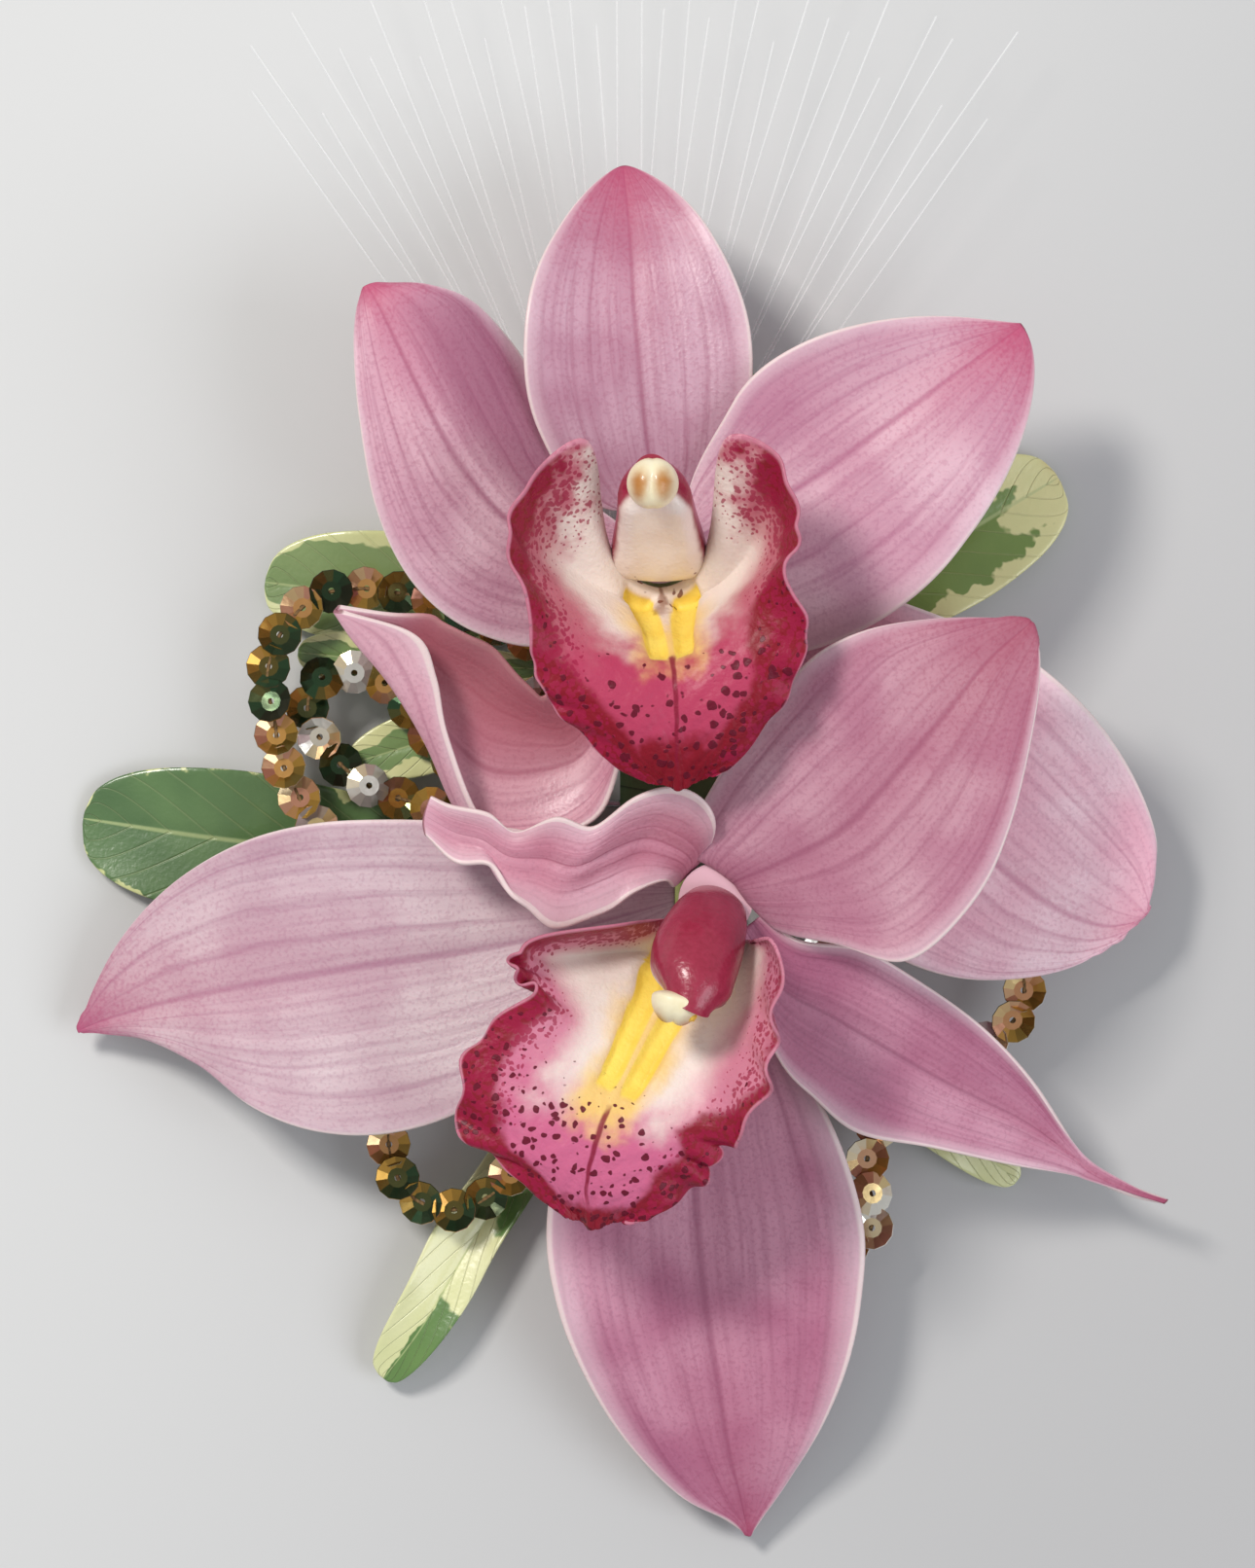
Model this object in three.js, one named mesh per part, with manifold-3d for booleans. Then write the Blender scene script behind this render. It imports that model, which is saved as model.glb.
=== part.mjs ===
// Orchid corsage: two cymbidium blooms, wired leaves, sequin loops and a clear filament spray,
// bound behind the blooms and pinned with two pearl-headed pins.
// Millimetres, +Z up. It lies on its back, the blooms face up, and the origin is the middle of
// the flat back of the binding.
import * as THREE from 'three';
import { mergeVertices } from 'three/addons/utils/BufferGeometryUtils.js';
import Module from 'manifold-3d';

const wasm = await Module();
wasm.setup();

// Gap between pieces that touch, and how far a cutter runs past a face
const fit = 0.3;
const overrun = 1;

// Span of an open bloom from sepal tip to sepal tip. The blooms' pieces, the leaves, and the
// places of leaves and loops are shares of it.
const bloomSpan = 120;

// Flower heads: the top of the ovary, which carries sepals, petals, lip and column
const upperHeadShares = [-0.02, 0.2092, 0.1833];
const lowerHeadShares = [0.0325, -0.1242, 0.1833];
const headRadius = bloomSpan * 0.035;
const headHeight = bloomSpan * 0.0417;
const sepalDrop = bloomSpan * 0.0267;
const petalDrop = bloomSpan * 0.01;
const seatRadius = headRadius + fit;

// Sepals and petals
const tepalThickness = 1.1;
const clawWidth = bloomSpan * 0.0417;
const tepalTipWidth = 0.6;

// Lips: the side lobe's width is the size that the whole lip outline follows
const lipThickness = 0.9;
const lobeWidth = bloomSpan / 12;
const keelHeight = 1.3;

// Columns, anther caps and pollinaria
const columnLength = bloomSpan * 0.1333;
const columnBaseWidth = bloomSpan * 0.0867;
const columnTipWidth = bloomSpan * 0.0667;
const columnDepth = bloomSpan * 0.0583;
const hoodReach = bloomSpan * 0.0183;
const capRadius = bloomSpan * 0.0242;
const capHeight = bloomSpan * 0.0233;
const capWall = 0.6;
const pollenRadius = bloomSpan * 0.0067;

// Pedicels, stem wires and floral tape
const pedicelRadius = bloomSpan / 60;
const wireRadius = 0.4;
const tapeBoreRadius = wireRadius + fit;
const tapeRadius = 1.3;
const stemRadius = 0.9;
const stemReach = bloomSpan * 0.044;

// Binding: flat sleeve of tape around the stem ends, which lie in a back row and a front row
const bindingLength = 16;
const bindingWall = 0.9;
const laneNear = 2.6;
const laneFar = 4.8;
const stemEndGap = 1;
const pinRadius = 0.4;
const pinRunningGap = 0.1;
const pinHoleRadius = pinRadius + pinRunningGap;
const backRowLevel = bindingWall + fit + stemRadius;
const pinLevel = backRowLevel + stemRadius + fit + pinRadius;
const frontRowBottom = pinLevel + pinRadius + fit;
const frontRowLevel = frontRowBottom + stemRadius;
const bloomLevel = frontRowBottom + tapeRadius;
const bindingHeight = frontRowBottom + 2 * tapeRadius + fit + bindingWall;
const bindingWidth = 2 * (laneFar + stemRadius + fit + bindingWall);

// Pearl-headed pins
const pinLength = 50;
const pinTipLength = 4;
const pinTipReach = 8.2;
const pearlRadius = 3;
const pinPitch = 8;

// Leaves
const leafThickness = 0.8;
const petioleWidth = 1.8;
const leafTipWidth = 1;

// Sequin loops
const sequinDiameter = 5;
const sequinThickness = 0.5;
const sequinCup = 0.7;
const sequinPitch = 4;
const threadRadius = 0.45;
const loopEndGap = 1.6;

// Clear filament spray
const strandRadius = 0.28;
const strandLength = 80;
const strandCount = 24;
const strandSpread = 72;
const fanRadius = 10;
const ferruleReach = 10;
const ferruleLean = -3.2;

const degrees = Math.PI / 180;
const up = new THREE.Vector3(0, 0, 1);
const corsage = new THREE.Group();

const inSpan = (shares) => new THREE.Vector3(...shares).multiplyScalar(bloomSpan);
const upperHead = inSpan(upperHeadShares);
const lowerHead = inSpan(lowerHeadShares);

function material(color, roughness, metalness = 0) {
  return new THREE.MeshStandardMaterial({ color, roughness, metalness });
}

const tepalPink = material(0xcd8caf, 0.45);
const lipCrimson = material(0xb92f5d, 0.4);
const columnCream = material(0xe6d9cc, 0.45);
const capYellow = material(0xf0e2a8, 0.4);
const pollenYellow = material(0xe6c540, 0.6);
const ovaryGreen = material(0xa8a878, 0.55);
const wireGreen = material(0x4b5a3c, 0.4, 0.6);
const tapeGreen = material(0x5d7c48, 0.8);
const leafGreen = material(0x5f7d4b, 0.35);
const sequinGold = material(0xc99a4e, 0.2, 1);
const filamentClear = material(0xf0f3f4, 0.1);
const pinSteel = material(0xc6c6ca, 0.25, 1);
const pearlWhite = material(0xf3ede3, 0.25);

// Adds a named mesh to the corsage
function add(name, geometry, finish) {
  const mesh = new THREE.Mesh(geometry, finish);
  mesh.name = name;
  corsage.add(mesh);
  return mesh;
}

// Closed solids to and from manifold, for the joins and cuts
function solid(geometry) {
  const plain = geometry.clone();
  plain.deleteAttribute('normal');
  plain.deleteAttribute('uv');
  const merged = mergeVertices(plain, fit / 1000);
  return new wasm.Manifold(new wasm.Mesh({
    numProp: 3,
    vertProperties: new Float32Array(merged.attributes.position.array),
    triVerts: new Uint32Array(merged.index.array),
  }));
}

function geometryOf(body) {
  const mesh = body.getMesh();
  const points = [];
  for (let vertex = 0; vertex < mesh.numVert; vertex += 1) {
    for (let axis = 0; axis < 3; axis += 1) points.push(mesh.vertProperties[vertex * mesh.numProp + axis]);
  }
  const geometry = new THREE.BufferGeometry();
  geometry.setAttribute('position', new THREE.Float32BufferAttribute(points, 3));
  geometry.setIndex([...mesh.triVerts]);
  return geometry;
}

// Thin sheet: surface(along, across) with along 0 to 1 and across -1 to 1, given its thickness on
// both sides of that surface and closed all round its rim. Blades have closer rows at their ends.
const evenRows = (share) => share;
const closeAtEnds = (share) => (share + (1 - Math.cos(share * Math.PI)) / 2) / 2;
const noBump = () => 0;

function sheet(surface, thickness, rows, columns, spacing = closeAtEnds, bump = noBump) {
  const points = [];
  const index = [];
  const step = 0.004;
  const side = (rows + 1) * (columns + 1);
  for (const face of [1, -1]) {
    for (let row = 0; row <= rows; row += 1) {
      for (let column = 0; column <= columns; column += 1) {
        const along = spacing(row / rows);
        const across = (2 * column) / columns - 1;
        const point = surface(along, across);
        const back = Math.max(along - step, 0);
        const ahead = Math.min(along + step, 1);
        const right = Math.max(across - step, -1);
        const left = Math.min(across + step, 1);
        const lengthwise = surface(ahead, across).sub(surface(back, across));
        const crosswise = surface(along, left).sub(surface(along, right));
        const normal = lengthwise.cross(crosswise).normalize();
        const thin = 1 - 0.4 * Math.abs(across) ** 3;
        const raised = face > 0 ? bump(along, across) : 0;
        points.push(...point.addScaledVector(normal, face * thin * thickness / 2 + raised).toArray());
      }
    }
  }
  const front = (row, column) => row * (columns + 1) + column;
  const quad = (a, b, c, d) => index.push(a, b, c, a, c, d);
  for (let row = 0; row < rows; row += 1) {
    for (let column = 0; column < columns; column += 1) {
      const corners = [
        front(row, column),
        front(row + 1, column),
        front(row + 1, column + 1),
        front(row, column + 1),
      ];
      quad(...corners);
      quad(...corners.reverse().map((corner) => corner + side));
    }
  }
  const rim = [];
  for (let column = 0; column < columns; column += 1) rim.push(front(0, column));
  for (let row = 0; row < rows; row += 1) rim.push(front(row, columns));
  for (let column = columns; column > 0; column -= 1) rim.push(front(rows, column));
  for (let row = rows; row > 0; row -= 1) rim.push(front(row, 0));
  rim.forEach((corner, place) => {
    const next = rim[(place + 1) % rim.length];
    quad(corner, next, next + side, corner + side);
  });
  const geometry = new THREE.BufferGeometry();
  geometry.setAttribute('position', new THREE.Float32BufferAttribute(points, 3));
  geometry.setIndex(index);
  return geometry;
}

// Closed body through rings of points, with a flat fan at each end
function loft(rings) {
  const count = rings[0].length;
  const points = rings.flat();
  const index = [];
  for (let ring = 0; ring < rings.length - 1; ring += 1) {
    for (let place = 0; place < count; place += 1) {
      const a = ring * count + place;
      const b = ring * count + (place + 1) % count;
      index.push(a, b, b + count, a, b + count, a + count);
    }
  }
  const endFan = (ring, flip) => {
    const centre = new THREE.Vector3();
    ring.forEach((point) => centre.addScaledVector(point, 1 / count));
    points.push(centre);
    const hub = points.length - 1;
    const first = flip ? 0 : (rings.length - 1) * count;
    for (let place = 0; place < count; place += 1) {
      const next = (place + 1) % count;
      index.push(hub, first + (flip ? next : place), first + (flip ? place : next));
    }
  };
  endFan(rings[0], true);
  endFan(rings[rings.length - 1], false);
  const geometry = new THREE.BufferGeometry();
  const numbers = points.flatMap((point) => point.toArray());
  geometry.setAttribute('position', new THREE.Float32BufferAttribute(numbers, 3));
  geometry.setIndex(index);
  return geometry;
}

// Round tube along a curve
function tube(curve, radius, sides, steps) {
  const outline = new THREE.Shape();
  for (let side = 0; side < sides; side += 1) {
    const angle = (side / sides) * 2 * Math.PI;
    const corner = [radius * Math.cos(angle), radius * Math.sin(angle)];
    if (side === 0) outline.moveTo(...corner);
    else outline.lineTo(...corner);
  }
  outline.closePath();
  return new THREE.ExtrudeGeometry(outline, { steps, bevelEnabled: false, extrudePath: curve });
}

// Blades: sepals, petals and leaves. A side's half width rises to its peak share of the length
// and falls to the point; a low point power gives a blunt end and a high one a drawn-out end.
function sideShare(along, side) {
  if (along <= 0 || along >= 1) return 0;
  const rise = (side.point * side.peakShare) / (1 - side.peakShare);
  return (along / side.peakShare) ** rise * ((1 - along) / (1 - side.peakShare)) ** side.point;
}

function bladeSurface(blade) {
  const { seat, heading, spineShares, left, right, rolls, baseWidth, tipWidth } = blade;
  const length = blade.lengthShare * bloomSpan;
  const chord = new THREE.Vector3(Math.cos(heading * degrees), Math.sin(heading * degrees), 0);
  const aside = new THREE.Vector3().crossVectors(up, chord);
  const spine = new THREE.CatmullRomCurve3(spineShares.map(([along, bow, lift]) => seat.clone()
    .addScaledVector(chord, along * length)
    .addScaledVector(aside, bow * length)
    .addScaledVector(up, lift * length)), false, 'centripetal');
  spine.arcLengthDivisions = 60;
  return (along, across) => {
    const tangent = spine.getTangentAt(along);
    const flat = new THREE.Vector3(-tangent.y, tangent.x, 0).normalize();
    const rise = new THREE.Vector3().crossVectors(tangent, flat);
    const side = across < 0 ? right : left;
    const share = sideShare(along, side);
    const claw = (baseWidth / 2) * Math.max(1 - along * 4, 0) ** 2;
    const sideWidth = side.widthShare * bloomSpan * share;
    const half = claw + sideWidth + tipWidth / 2;
    const roll = (rolls[0] * (1 - along) + rolls[1] * along) * share * degrees;
    const out = half * across;
    const lift = side.liftShare * sideWidth * Math.abs(across) ** 1.8;
    return spine.getPointAt(along)
      .addScaledVector(flat, out * Math.cos(roll) - lift * Math.sin(roll))
      .addScaledVector(rise, lift * Math.cos(roll) + out * Math.sin(roll));
  };
}

function tepal(name, head, drop, shape) {
  const seat = head.clone().add(new THREE.Vector3(
    seatRadius * Math.cos(shape.seatHeading * degrees),
    seatRadius * Math.sin(shape.seatHeading * degrees),
    -drop,
  ));
  const blade = { ...shape, seat, baseWidth: clawWidth, tipWidth: tepalTipWidth };
  add(name, sheet(bladeSurface(blade), tepalThickness, 11, 6), tepalPink);
}

// Upper bloom's sepals and petals. Spine rows are shares of the length: along, to the left, up.
tepal('upper_dorsal_sepal', upperHead, sepalDrop, {
  seatHeading: 95, heading: 95.5, lengthShare: 0.325, rolls: [0, 0],
  spineShares: [[0, 0, 0], [0.25, 0.01, 0.05], [0.55, 0.01, 0.05], [0.8, 0, 0], [1, 0, -0.08]],
  left: { widthShare: 0.1058, peakShare: 0.42, point: 0.75, liftShare: 0.14 },
  right: { widthShare: 0.1058, peakShare: 0.42, point: 0.75, liftShare: 0.14 },
});
tepal('upper_left_petal', upperHead, petalDrop, {
  seatHeading: 176, heading: 135.8, lengthShare: 0.3367, rolls: [0, 0],
  spineShares: [[0, 0, 0], [0.135, 0.166, 0.06], [0.4, 0.162, 0.11], [0.72, 0.09, 0.11], [1, 0, 0.04]],
  left: { widthShare: 0.11, peakShare: 0.28, point: 0.8, liftShare: 0.05 },
  right: { widthShare: 0.0975, peakShare: 0.55, point: 0.67, liftShare: -0.1 },
});
tepal('upper_right_petal', upperHead, petalDrop, {
  seatHeading: 15, heading: 33, lengthShare: 0.3633, rolls: [0, 0],
  spineShares: [[0, 0, 0], [0.25, -0.035, 0.06], [0.55, -0.025, 0.09], [0.8, -0.01, 0.07], [1, 0, 0.02]],
  left: { widthShare: 0.1092, peakShare: 0.42, point: 1.05, liftShare: 0.12 },
  right: { widthShare: 0.145, peakShare: 0.3, point: 0.57, liftShare: -0.06 },
});
tepal('upper_left_sepal', upperHead, sepalDrop, {
  seatHeading: 235, heading: 185.4, lengthShare: 0.2842, rolls: [0, 0],
  spineShares: [
    [0, 0, 0], [0.2, 0.26, -0.02], [0.41, 0.38, -0.06], [0.66, 0.29, -0.02], [0.84, 0.13, 0.04],
    [1, 0, 0.06],
  ],
  left: { widthShare: 0.0883, peakShare: 0.45, point: 0.8, liftShare: 0.3 },
  right: { widthShare: 0.0567, peakShare: 0.6, point: 0.6, liftShare: 0.2 },
});
tepal('upper_right_sepal', upperHead, sepalDrop, {
  seatHeading: -40, heading: -36.3, lengthShare: 0.53, rolls: [0, 0],
  spineShares: [
    [0, 0, 0], [0.3, -0.03, 0.0], [0.65, -0.055, -0.06], [0.82, -0.065, -0.1],
    [0.94, -0.04, -0.14], [1, 0, -0.16],
  ],
  left: { widthShare: 0.1492, peakShare: 0.6, point: 0.47, liftShare: -0.02 },
  right: { widthShare: 0.135, peakShare: 0.52, point: 0.58, liftShare: -0.04 },
});

// Lower bloom's sepals and petals
tepal('lower_dorsal_sepal', lowerHead, petalDrop, {
  seatHeading: 29, heading: 43.4, lengthShare: 0.3575, rolls: [0, 0],
  spineShares: [
    [0, 0, 0], [0.11, -0.045, 0.085], [0.23, -0.075, 0.15], [0.4, -0.062, 0.2],
    [0.57, -0.039, 0.24], [0.8, -0.017, 0.25], [1, 0, 0.21],
  ],
  left: { widthShare: 0.1333, peakShare: 0.38, point: 0.7, liftShare: -0.04 },
  right: { widthShare: 0.1358, peakShare: 0.34, point: 0.72, liftShare: 0.16 },
});
tepal('lower_left_petal', lowerHead, petalDrop, {
  seatHeading: 134, heading: 166.6, lengthShare: 0.2533, rolls: [-54, -40],
  spineShares: [
    [0, 0, 0], [0.15, -0.06, 0.125], [0.35, 0.05, 0.25], [0.6, 0.1, 0.28], [0.85, 0.07, 0.22],
    [1, 0, 0.18],
  ],
  left: { widthShare: 0.0667, peakShare: 0.45, point: 0.5, liftShare: 0.1 },
  right: { widthShare: 0.0833, peakShare: 0.3, point: 0.45, liftShare: 0.1 },
});
tepal('lower_right_petal', lowerHead, petalDrop, {
  seatHeading: -44, heading: -33.2, lengthShare: 0.4758, rolls: [0, 0],
  spineShares: [
    [0, 0, 0], [0.2, -0.053, -0.03], [0.4, -0.075, -0.07], [0.6, -0.05, -0.12],
    [0.8, -0.052, -0.18], [0.9, -0.02, -0.19], [1, 0, -0.2],
  ],
  left: { widthShare: 0.0758, peakShare: 0.36, point: 2, liftShare: 0.1 },
  right: { widthShare: 0.0758, peakShare: 0.36, point: 2, liftShare: 0.1 },
});
tepal('lower_left_sepal', lowerHead, sepalDrop, {
  seatHeading: 180, heading: 192.4, lengthShare: 0.5767, rolls: [0, 0],
  spineShares: [
    [0, 0, 0], [0.3, 0.01, -0.02], [0.55, 0.01, -0.05], [0.74, -0.018, -0.1], [0.86, -0.05, -0.16],
    [1, 0, -0.22],
  ],
  left: { widthShare: 0.1475, peakShare: 0.53, point: 1.1, liftShare: 0.05 },
  right: { widthShare: 0.1475, peakShare: 0.53, point: 1.1, liftShare: 0.05 },
});
tepal('lower_right_sepal', lowerHead, sepalDrop, {
  seatHeading: -80, heading: -87.4, lengthShare: 0.5625, rolls: [0, 0],
  spineShares: [
    [0, 0, 0], [0.2, -0.03, -0.07], [0.5, -0.05, -0.12], [0.75, -0.04, -0.15],
    [0.9, -0.025, -0.19], [1, 0, -0.24],
  ],
  left: { widthShare: 0.1483, peakShare: 0.5, point: 0.65, liftShare: 0.08 },
  right: { widthShare: 0.1483, peakShare: 0.5, point: 0.65, liftShare: 0.08 },
});

// Lips. Rows are shares of the lobe width: x, y and height above the head. Stations run from the
// base over the side lobe's inner top, outer top and side, the notch, then the middle lobe to its
// tip. Each rib curves from the midline through a middle point to the edge.
const ribOutShares = [0.8, 1.05, 0.95, 0.75, 0.6, 0.5, 0.5, 0.5, 0.5];
const ribUpShares = [0.5, -0.15, 0.15, 0.35, 0.45, 0.5, 0.5, 0.5, 0.5];
const ribBellyShares = [-0.05, -0.6, -0.6, -0.5, -0.3, 0, 0.15, 0.15, 0];

function alongRow(rowShares, scale) {
  const points = rowShares.map((share) => new THREE.Vector3(...share).multiplyScalar(scale));
  return new THREE.CatmullRomCurve3(points, false, 'catmullrom', 0.5);
}

function lip(name, head, midShares, leftShares, rightShares) {
  const mid = alongRow(midShares, lobeWidth);
  const edges = { left: alongRow(leftShares, lobeWidth), right: alongRow(rightShares, lobeWidth) };
  const ribShares = ribOutShares.map((share, place) => [share, ribUpShares[place], ribBellyShares[place]]);
  const rib = alongRow(ribShares, 1);
  const surface = (along, across) => {
    const start = mid.getPoint(along);
    const end = (across < 0 ? edges.right : edges.left).getPoint(along);
    const bend = rib.getPoint(along);
    const middle = new THREE.Vector3(
      start.x + (end.x - start.x) * bend.x,
      start.y + (end.y - start.y) * bend.y,
      (start.z + end.z) / 2 + bend.z * lobeWidth,
    );
    const share = Math.abs(across);
    return head.clone()
      .addScaledVector(start, (1 - share) ** 2)
      .addScaledVector(middle, 2 * share * (1 - share))
      .addScaledVector(end, share ** 2);
  };
  const keel = (along, across) => {
    const rising = THREE.MathUtils.smoothstep(along, 0.2, 0.35);
    const falling = THREE.MathUtils.smoothstep(along, 0.5, 0.62);
    const lengthwise = rising * (1 - falling);
    const sideways = Math.max(1 - Math.abs(Math.abs(across) - 0.167) / 0.16, 0);
    return keelHeight * lengthwise * sideways;
  };
  add(name, sheet(surface, lipThickness, 16, 10, evenRows, keel), lipCrimson);
}

lip(
  'upper_lip', upperHead,
  [[0, -0.5, 0.07], [0.03, -0.6, 0.15], [0.04, -0.75, 0.32], [0.07, -0.9, 0.6], [0.11, -1.12, 1.05],
    [0.15, -1.42, 1.36], [0.18, -1.85, 1.46], [0.18, -2.3, 1.34], [0.15, -2.68, 1.05]],
  [[-0.63, -0.5, 0.2], [-0.77, 1.1, 1.5], [-1.43, 0.74, 1.8], [-1.7, 0.02, 1.9], [-1.43, -0.91, 1.75],
    [-1.41, -1.41, 1.6], [-1.13, -1.9, 1.4], [-0.58, -2.4, 1.2], [0.02, -2.68, 1.05]],
  [[0.63, -0.5, 0.2], [0.68, 1.1, 1.5], [1.29, 0.96, 1.8], [1.54, 0.19, 1.9], [1.43, -0.36, 1.8],
    [1.65, -0.97, 1.65], [1.45, -1.63, 1.45], [0.96, -2.31, 1.2], [0.28, -2.68, 1.05]],
);
lip(
  'lower_lip', lowerHead,
  [[-0.2, -0.46, 0.07], [-0.26, -0.56, 0.15], [-0.4, -0.72, 0.3], [-0.6, -1.1, 0.55], [-0.95, -1.8, 0.85],
    [-1.2, -2.3, 0.98], [-1.35, -2.7, 1.02], [-1.45, -3.15, 0.92], [-1.45, -3.6, 0.68]],
  [[-0.6, -0.2, 0.2], [-1.05, -0.25, 0.85], [-2.15, -0.44, 1.25], [-2.26, -0.78, 1.2], [-2.05, -1.1, 1.1],
    [-2.75, -1.6, 1], [-2.85, -2.6, 0.85], [-2.15, -3.1, 0.75], [-1.55, -3.62, 0.68]],
  [[0.35, -0.5, 0.25], [0.6, -0.42, 1.5], [0.68, -0.9, 1.85], [0.6, -1.8, 1.75], [0.38, -2.6, 1.45],
    [0.1, -2.75, 1.1], [-0.1, -3.05, 0.85], [-0.5, -3.4, 0.75], [-1.25, -3.62, 0.68]],
);

// Columns: half-round body with a flat face towards the lip and a hood over the anther cap. It
// stands flat on the head and leans by the given direction, its back turning as it rises.
function columnParts(prefix, head, leanShares, backStart, backEnd, side) {
  const foot = new THREE.Vector3(0, 0, fit);
  const spine = new THREE.CatmullRomCurve3(leanShares.map((share) => new THREE.Vector3(...share)
    .multiplyScalar(columnLength).add(foot).add(head)));
  const stations = 6;
  const corners = 14;
  const tipForward = spine.getTangent(1);
  const rings = [];
  for (let station = 0; station <= stations; station += 1) {
    const along = station / stations;
    const back = backStart.clone().lerp(backEnd, along).normalize();
    const half = THREE.MathUtils.lerp(columnBaseWidth, columnTipWidth, along) / 2;
    const ring = [];
    for (let corner = 0; corner < corners; corner += 1) {
      const angle = (corner / corners) * 2 * Math.PI;
      const depth = Math.sin(angle) > 0 ? columnDepth * 0.55 : columnDepth * 0.4;
      const hood = Math.max(Math.sin(angle), 0) * hoodReach * Math.max(along * 3 - 2, 0);
      ring.push(spine.getPoint(along)
        .addScaledVector(side, half * Math.cos(angle))
        .addScaledVector(back, depth * Math.sin(angle))
        .addScaledVector(tipForward, hood));
    }
    rings.push(ring);
  }
  add(`${prefix}_column`, loft(rings), columnCream);

  // Cap seated in front of the slanted tip, hollow over the pollinarium
  const tip = spine.getPoint(1);
  const slant = Math.atan2(hoodReach, columnDepth * 0.55);
  const facing = tipForward.clone()
    .multiplyScalar(Math.cos(slant))
    .addScaledVector(backEnd, -Math.sin(slant))
    .normalize();
  const turn = new THREE.Quaternion().setFromUnitVectors(up, facing);
  const seat = tip.clone().addScaledVector(facing, fit + hoodReach * 0.6);
  const profile = [];
  const arcSteps = 3;
  for (let place = 0; place <= arcSteps; place += 1) {
    const angle = (place / arcSteps) * 90 * degrees;
    profile.push(new THREE.Vector2(capRadius * Math.cos(angle), capHeight * Math.sin(angle)));
  }
  for (let place = arcSteps; place >= 0; place -= 1) {
    const angle = (place / arcSteps) * 90 * degrees;
    const innerRadius = (capRadius - capWall) * Math.cos(angle);
    const innerHeight = (capHeight - capWall) * Math.sin(angle);
    profile.push(new THREE.Vector2(innerRadius, innerHeight));
  }
  profile[arcSteps].x = 0;
  profile[arcSteps + 1].x = 0;
  profile.push(profile[0].clone());
  const cap = add(`${prefix}_anther_cap`, mergeVertices(new THREE.LatheGeometry(profile, 10)), capYellow);
  cap.geometry.rotateX(90 * degrees);
  cap.quaternion.copy(turn);
  cap.position.copy(seat);

  const pollen = new THREE.SphereGeometry(pollenRadius, 8, 6);
  const pair = solid(pollen.clone().translate(-pollenRadius * 0.8, 0, 0))
    .add(solid(pollen.clone().translate(pollenRadius * 0.8, 0, 0)));
  const grains = add(`${prefix}_pollinarium`, geometryOf(pair), pollenYellow);
  grains.quaternion.copy(turn);
  grains.position.copy(seat).addScaledVector(facing, pollenRadius + fit / 2);
}

columnParts(
  'upper', upperHead,
  [[0, -0.04, 0], [-0.01, 0.06, 0.36], [-0.03, 0.24, 0.72], [-0.05, 0.4, 0.96]],
  new THREE.Vector3(0, 1, 0), new THREE.Vector3(0, 0.8, -0.6), new THREE.Vector3(1, 0, 0),
);
columnParts(
  'lower', lowerHead,
  [[0.02, 0.02, 0], [-0.02, -0.1, 0.42], [-0.09, -0.36, 0.78], [-0.17, -0.62, 0.98]],
  new THREE.Vector3(0.42, 0.9, 0), new THREE.Vector3(0.22, 0.5, 0.84), new THREE.Vector3(0.9, -0.42, 0),
);

// Pedicels: the ovary's head narrows to a stalk that bends back to the binding
function pedicelParts(prefix, head, bendShares, side, laneEnd) {
  const top = head.clone();
  const neck = head.clone().addScaledVector(up, -headHeight);
  const end = new THREE.Vector3(0, side * (bindingLength / 2 + pedicelRadius * 2), bloomLevel);
  const reach = neck.clone().sub(end);
  const bends = bendShares.map((share) => end.clone().add(new THREE.Vector3(...share).multiply(reach)));
  const spine = new THREE.CatmullRomCurve3([neck, ...bends, end]);
  const corners = 12;
  const steps = 8;
  const rings = [];
  const ringAt = (centre, tangent, radius) => {
    const across = new THREE.Vector3(0, tangent.z, -tangent.y).normalize();
    const other = new THREE.Vector3().crossVectors(across, tangent).normalize();
    const ring = [];
    for (let corner = 0; corner < corners; corner += 1) {
      const angle = (corner / corners) * 2 * Math.PI;
      ring.push(centre.clone()
        .addScaledVector(across, radius * Math.cos(angle))
        .addScaledVector(other, -radius * Math.sin(angle)));
    }
    return ring;
  };
  const down = new THREE.Vector3(0, 0, -1);
  rings.push(ringAt(top, down, headRadius));
  rings.push(ringAt(neck.clone().addScaledVector(up, headHeight * 0.25), down, headRadius));
  for (let step = 0; step <= steps; step += 1) {
    const along = step / steps;
    const radius = pedicelRadius + (headRadius - pedicelRadius) * 0.35 * (1 - along);
    const tangent = step === steps ? new THREE.Vector3(0, -side, 0) : spine.getTangent(along);
    rings.push(ringAt(spine.getPoint(along), tangent, radius));
  }
  add(`${prefix}_pedicel`, loft(rings), ovaryGreen);

  // Wire core and taped sheath from the pedicel's end into the binding
  const gapEnd = end.clone().addScaledVector(new THREE.Vector3(0, -side, 0), fit);
  const inner = new THREE.Vector3(0, side * laneEnd, bloomLevel);
  const line = new THREE.LineCurve3(gapEnd, inner);
  const longer = new THREE.LineCurve3(
    gapEnd.clone().addScaledVector(new THREE.Vector3(0, side, 0), overrun),
    inner.clone().addScaledVector(new THREE.Vector3(0, -side, 0), overrun),
  );
  add(`${prefix}_stem_wire`, tube(line, wireRadius, 8, 1), wireGreen);
  const sheath = solid(tube(line, tapeRadius, 12, 1)).subtract(solid(tube(longer, tapeBoreRadius, 12, 1)));
  add(`${prefix}_stem_tape`, geometryOf(sheath), tapeGreen);
}

pedicelParts('upper', upperHead, [[0.95, 0.9, 0.55], [0.6, 0.45, 0.08]], 1, stemEndGap / 2);
pedicelParts('lower', lowerHead, [[0.9, 1.6, 0.4], [0.35, 1.9, 0.05]], -1, stemEndGap / 2);

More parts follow.
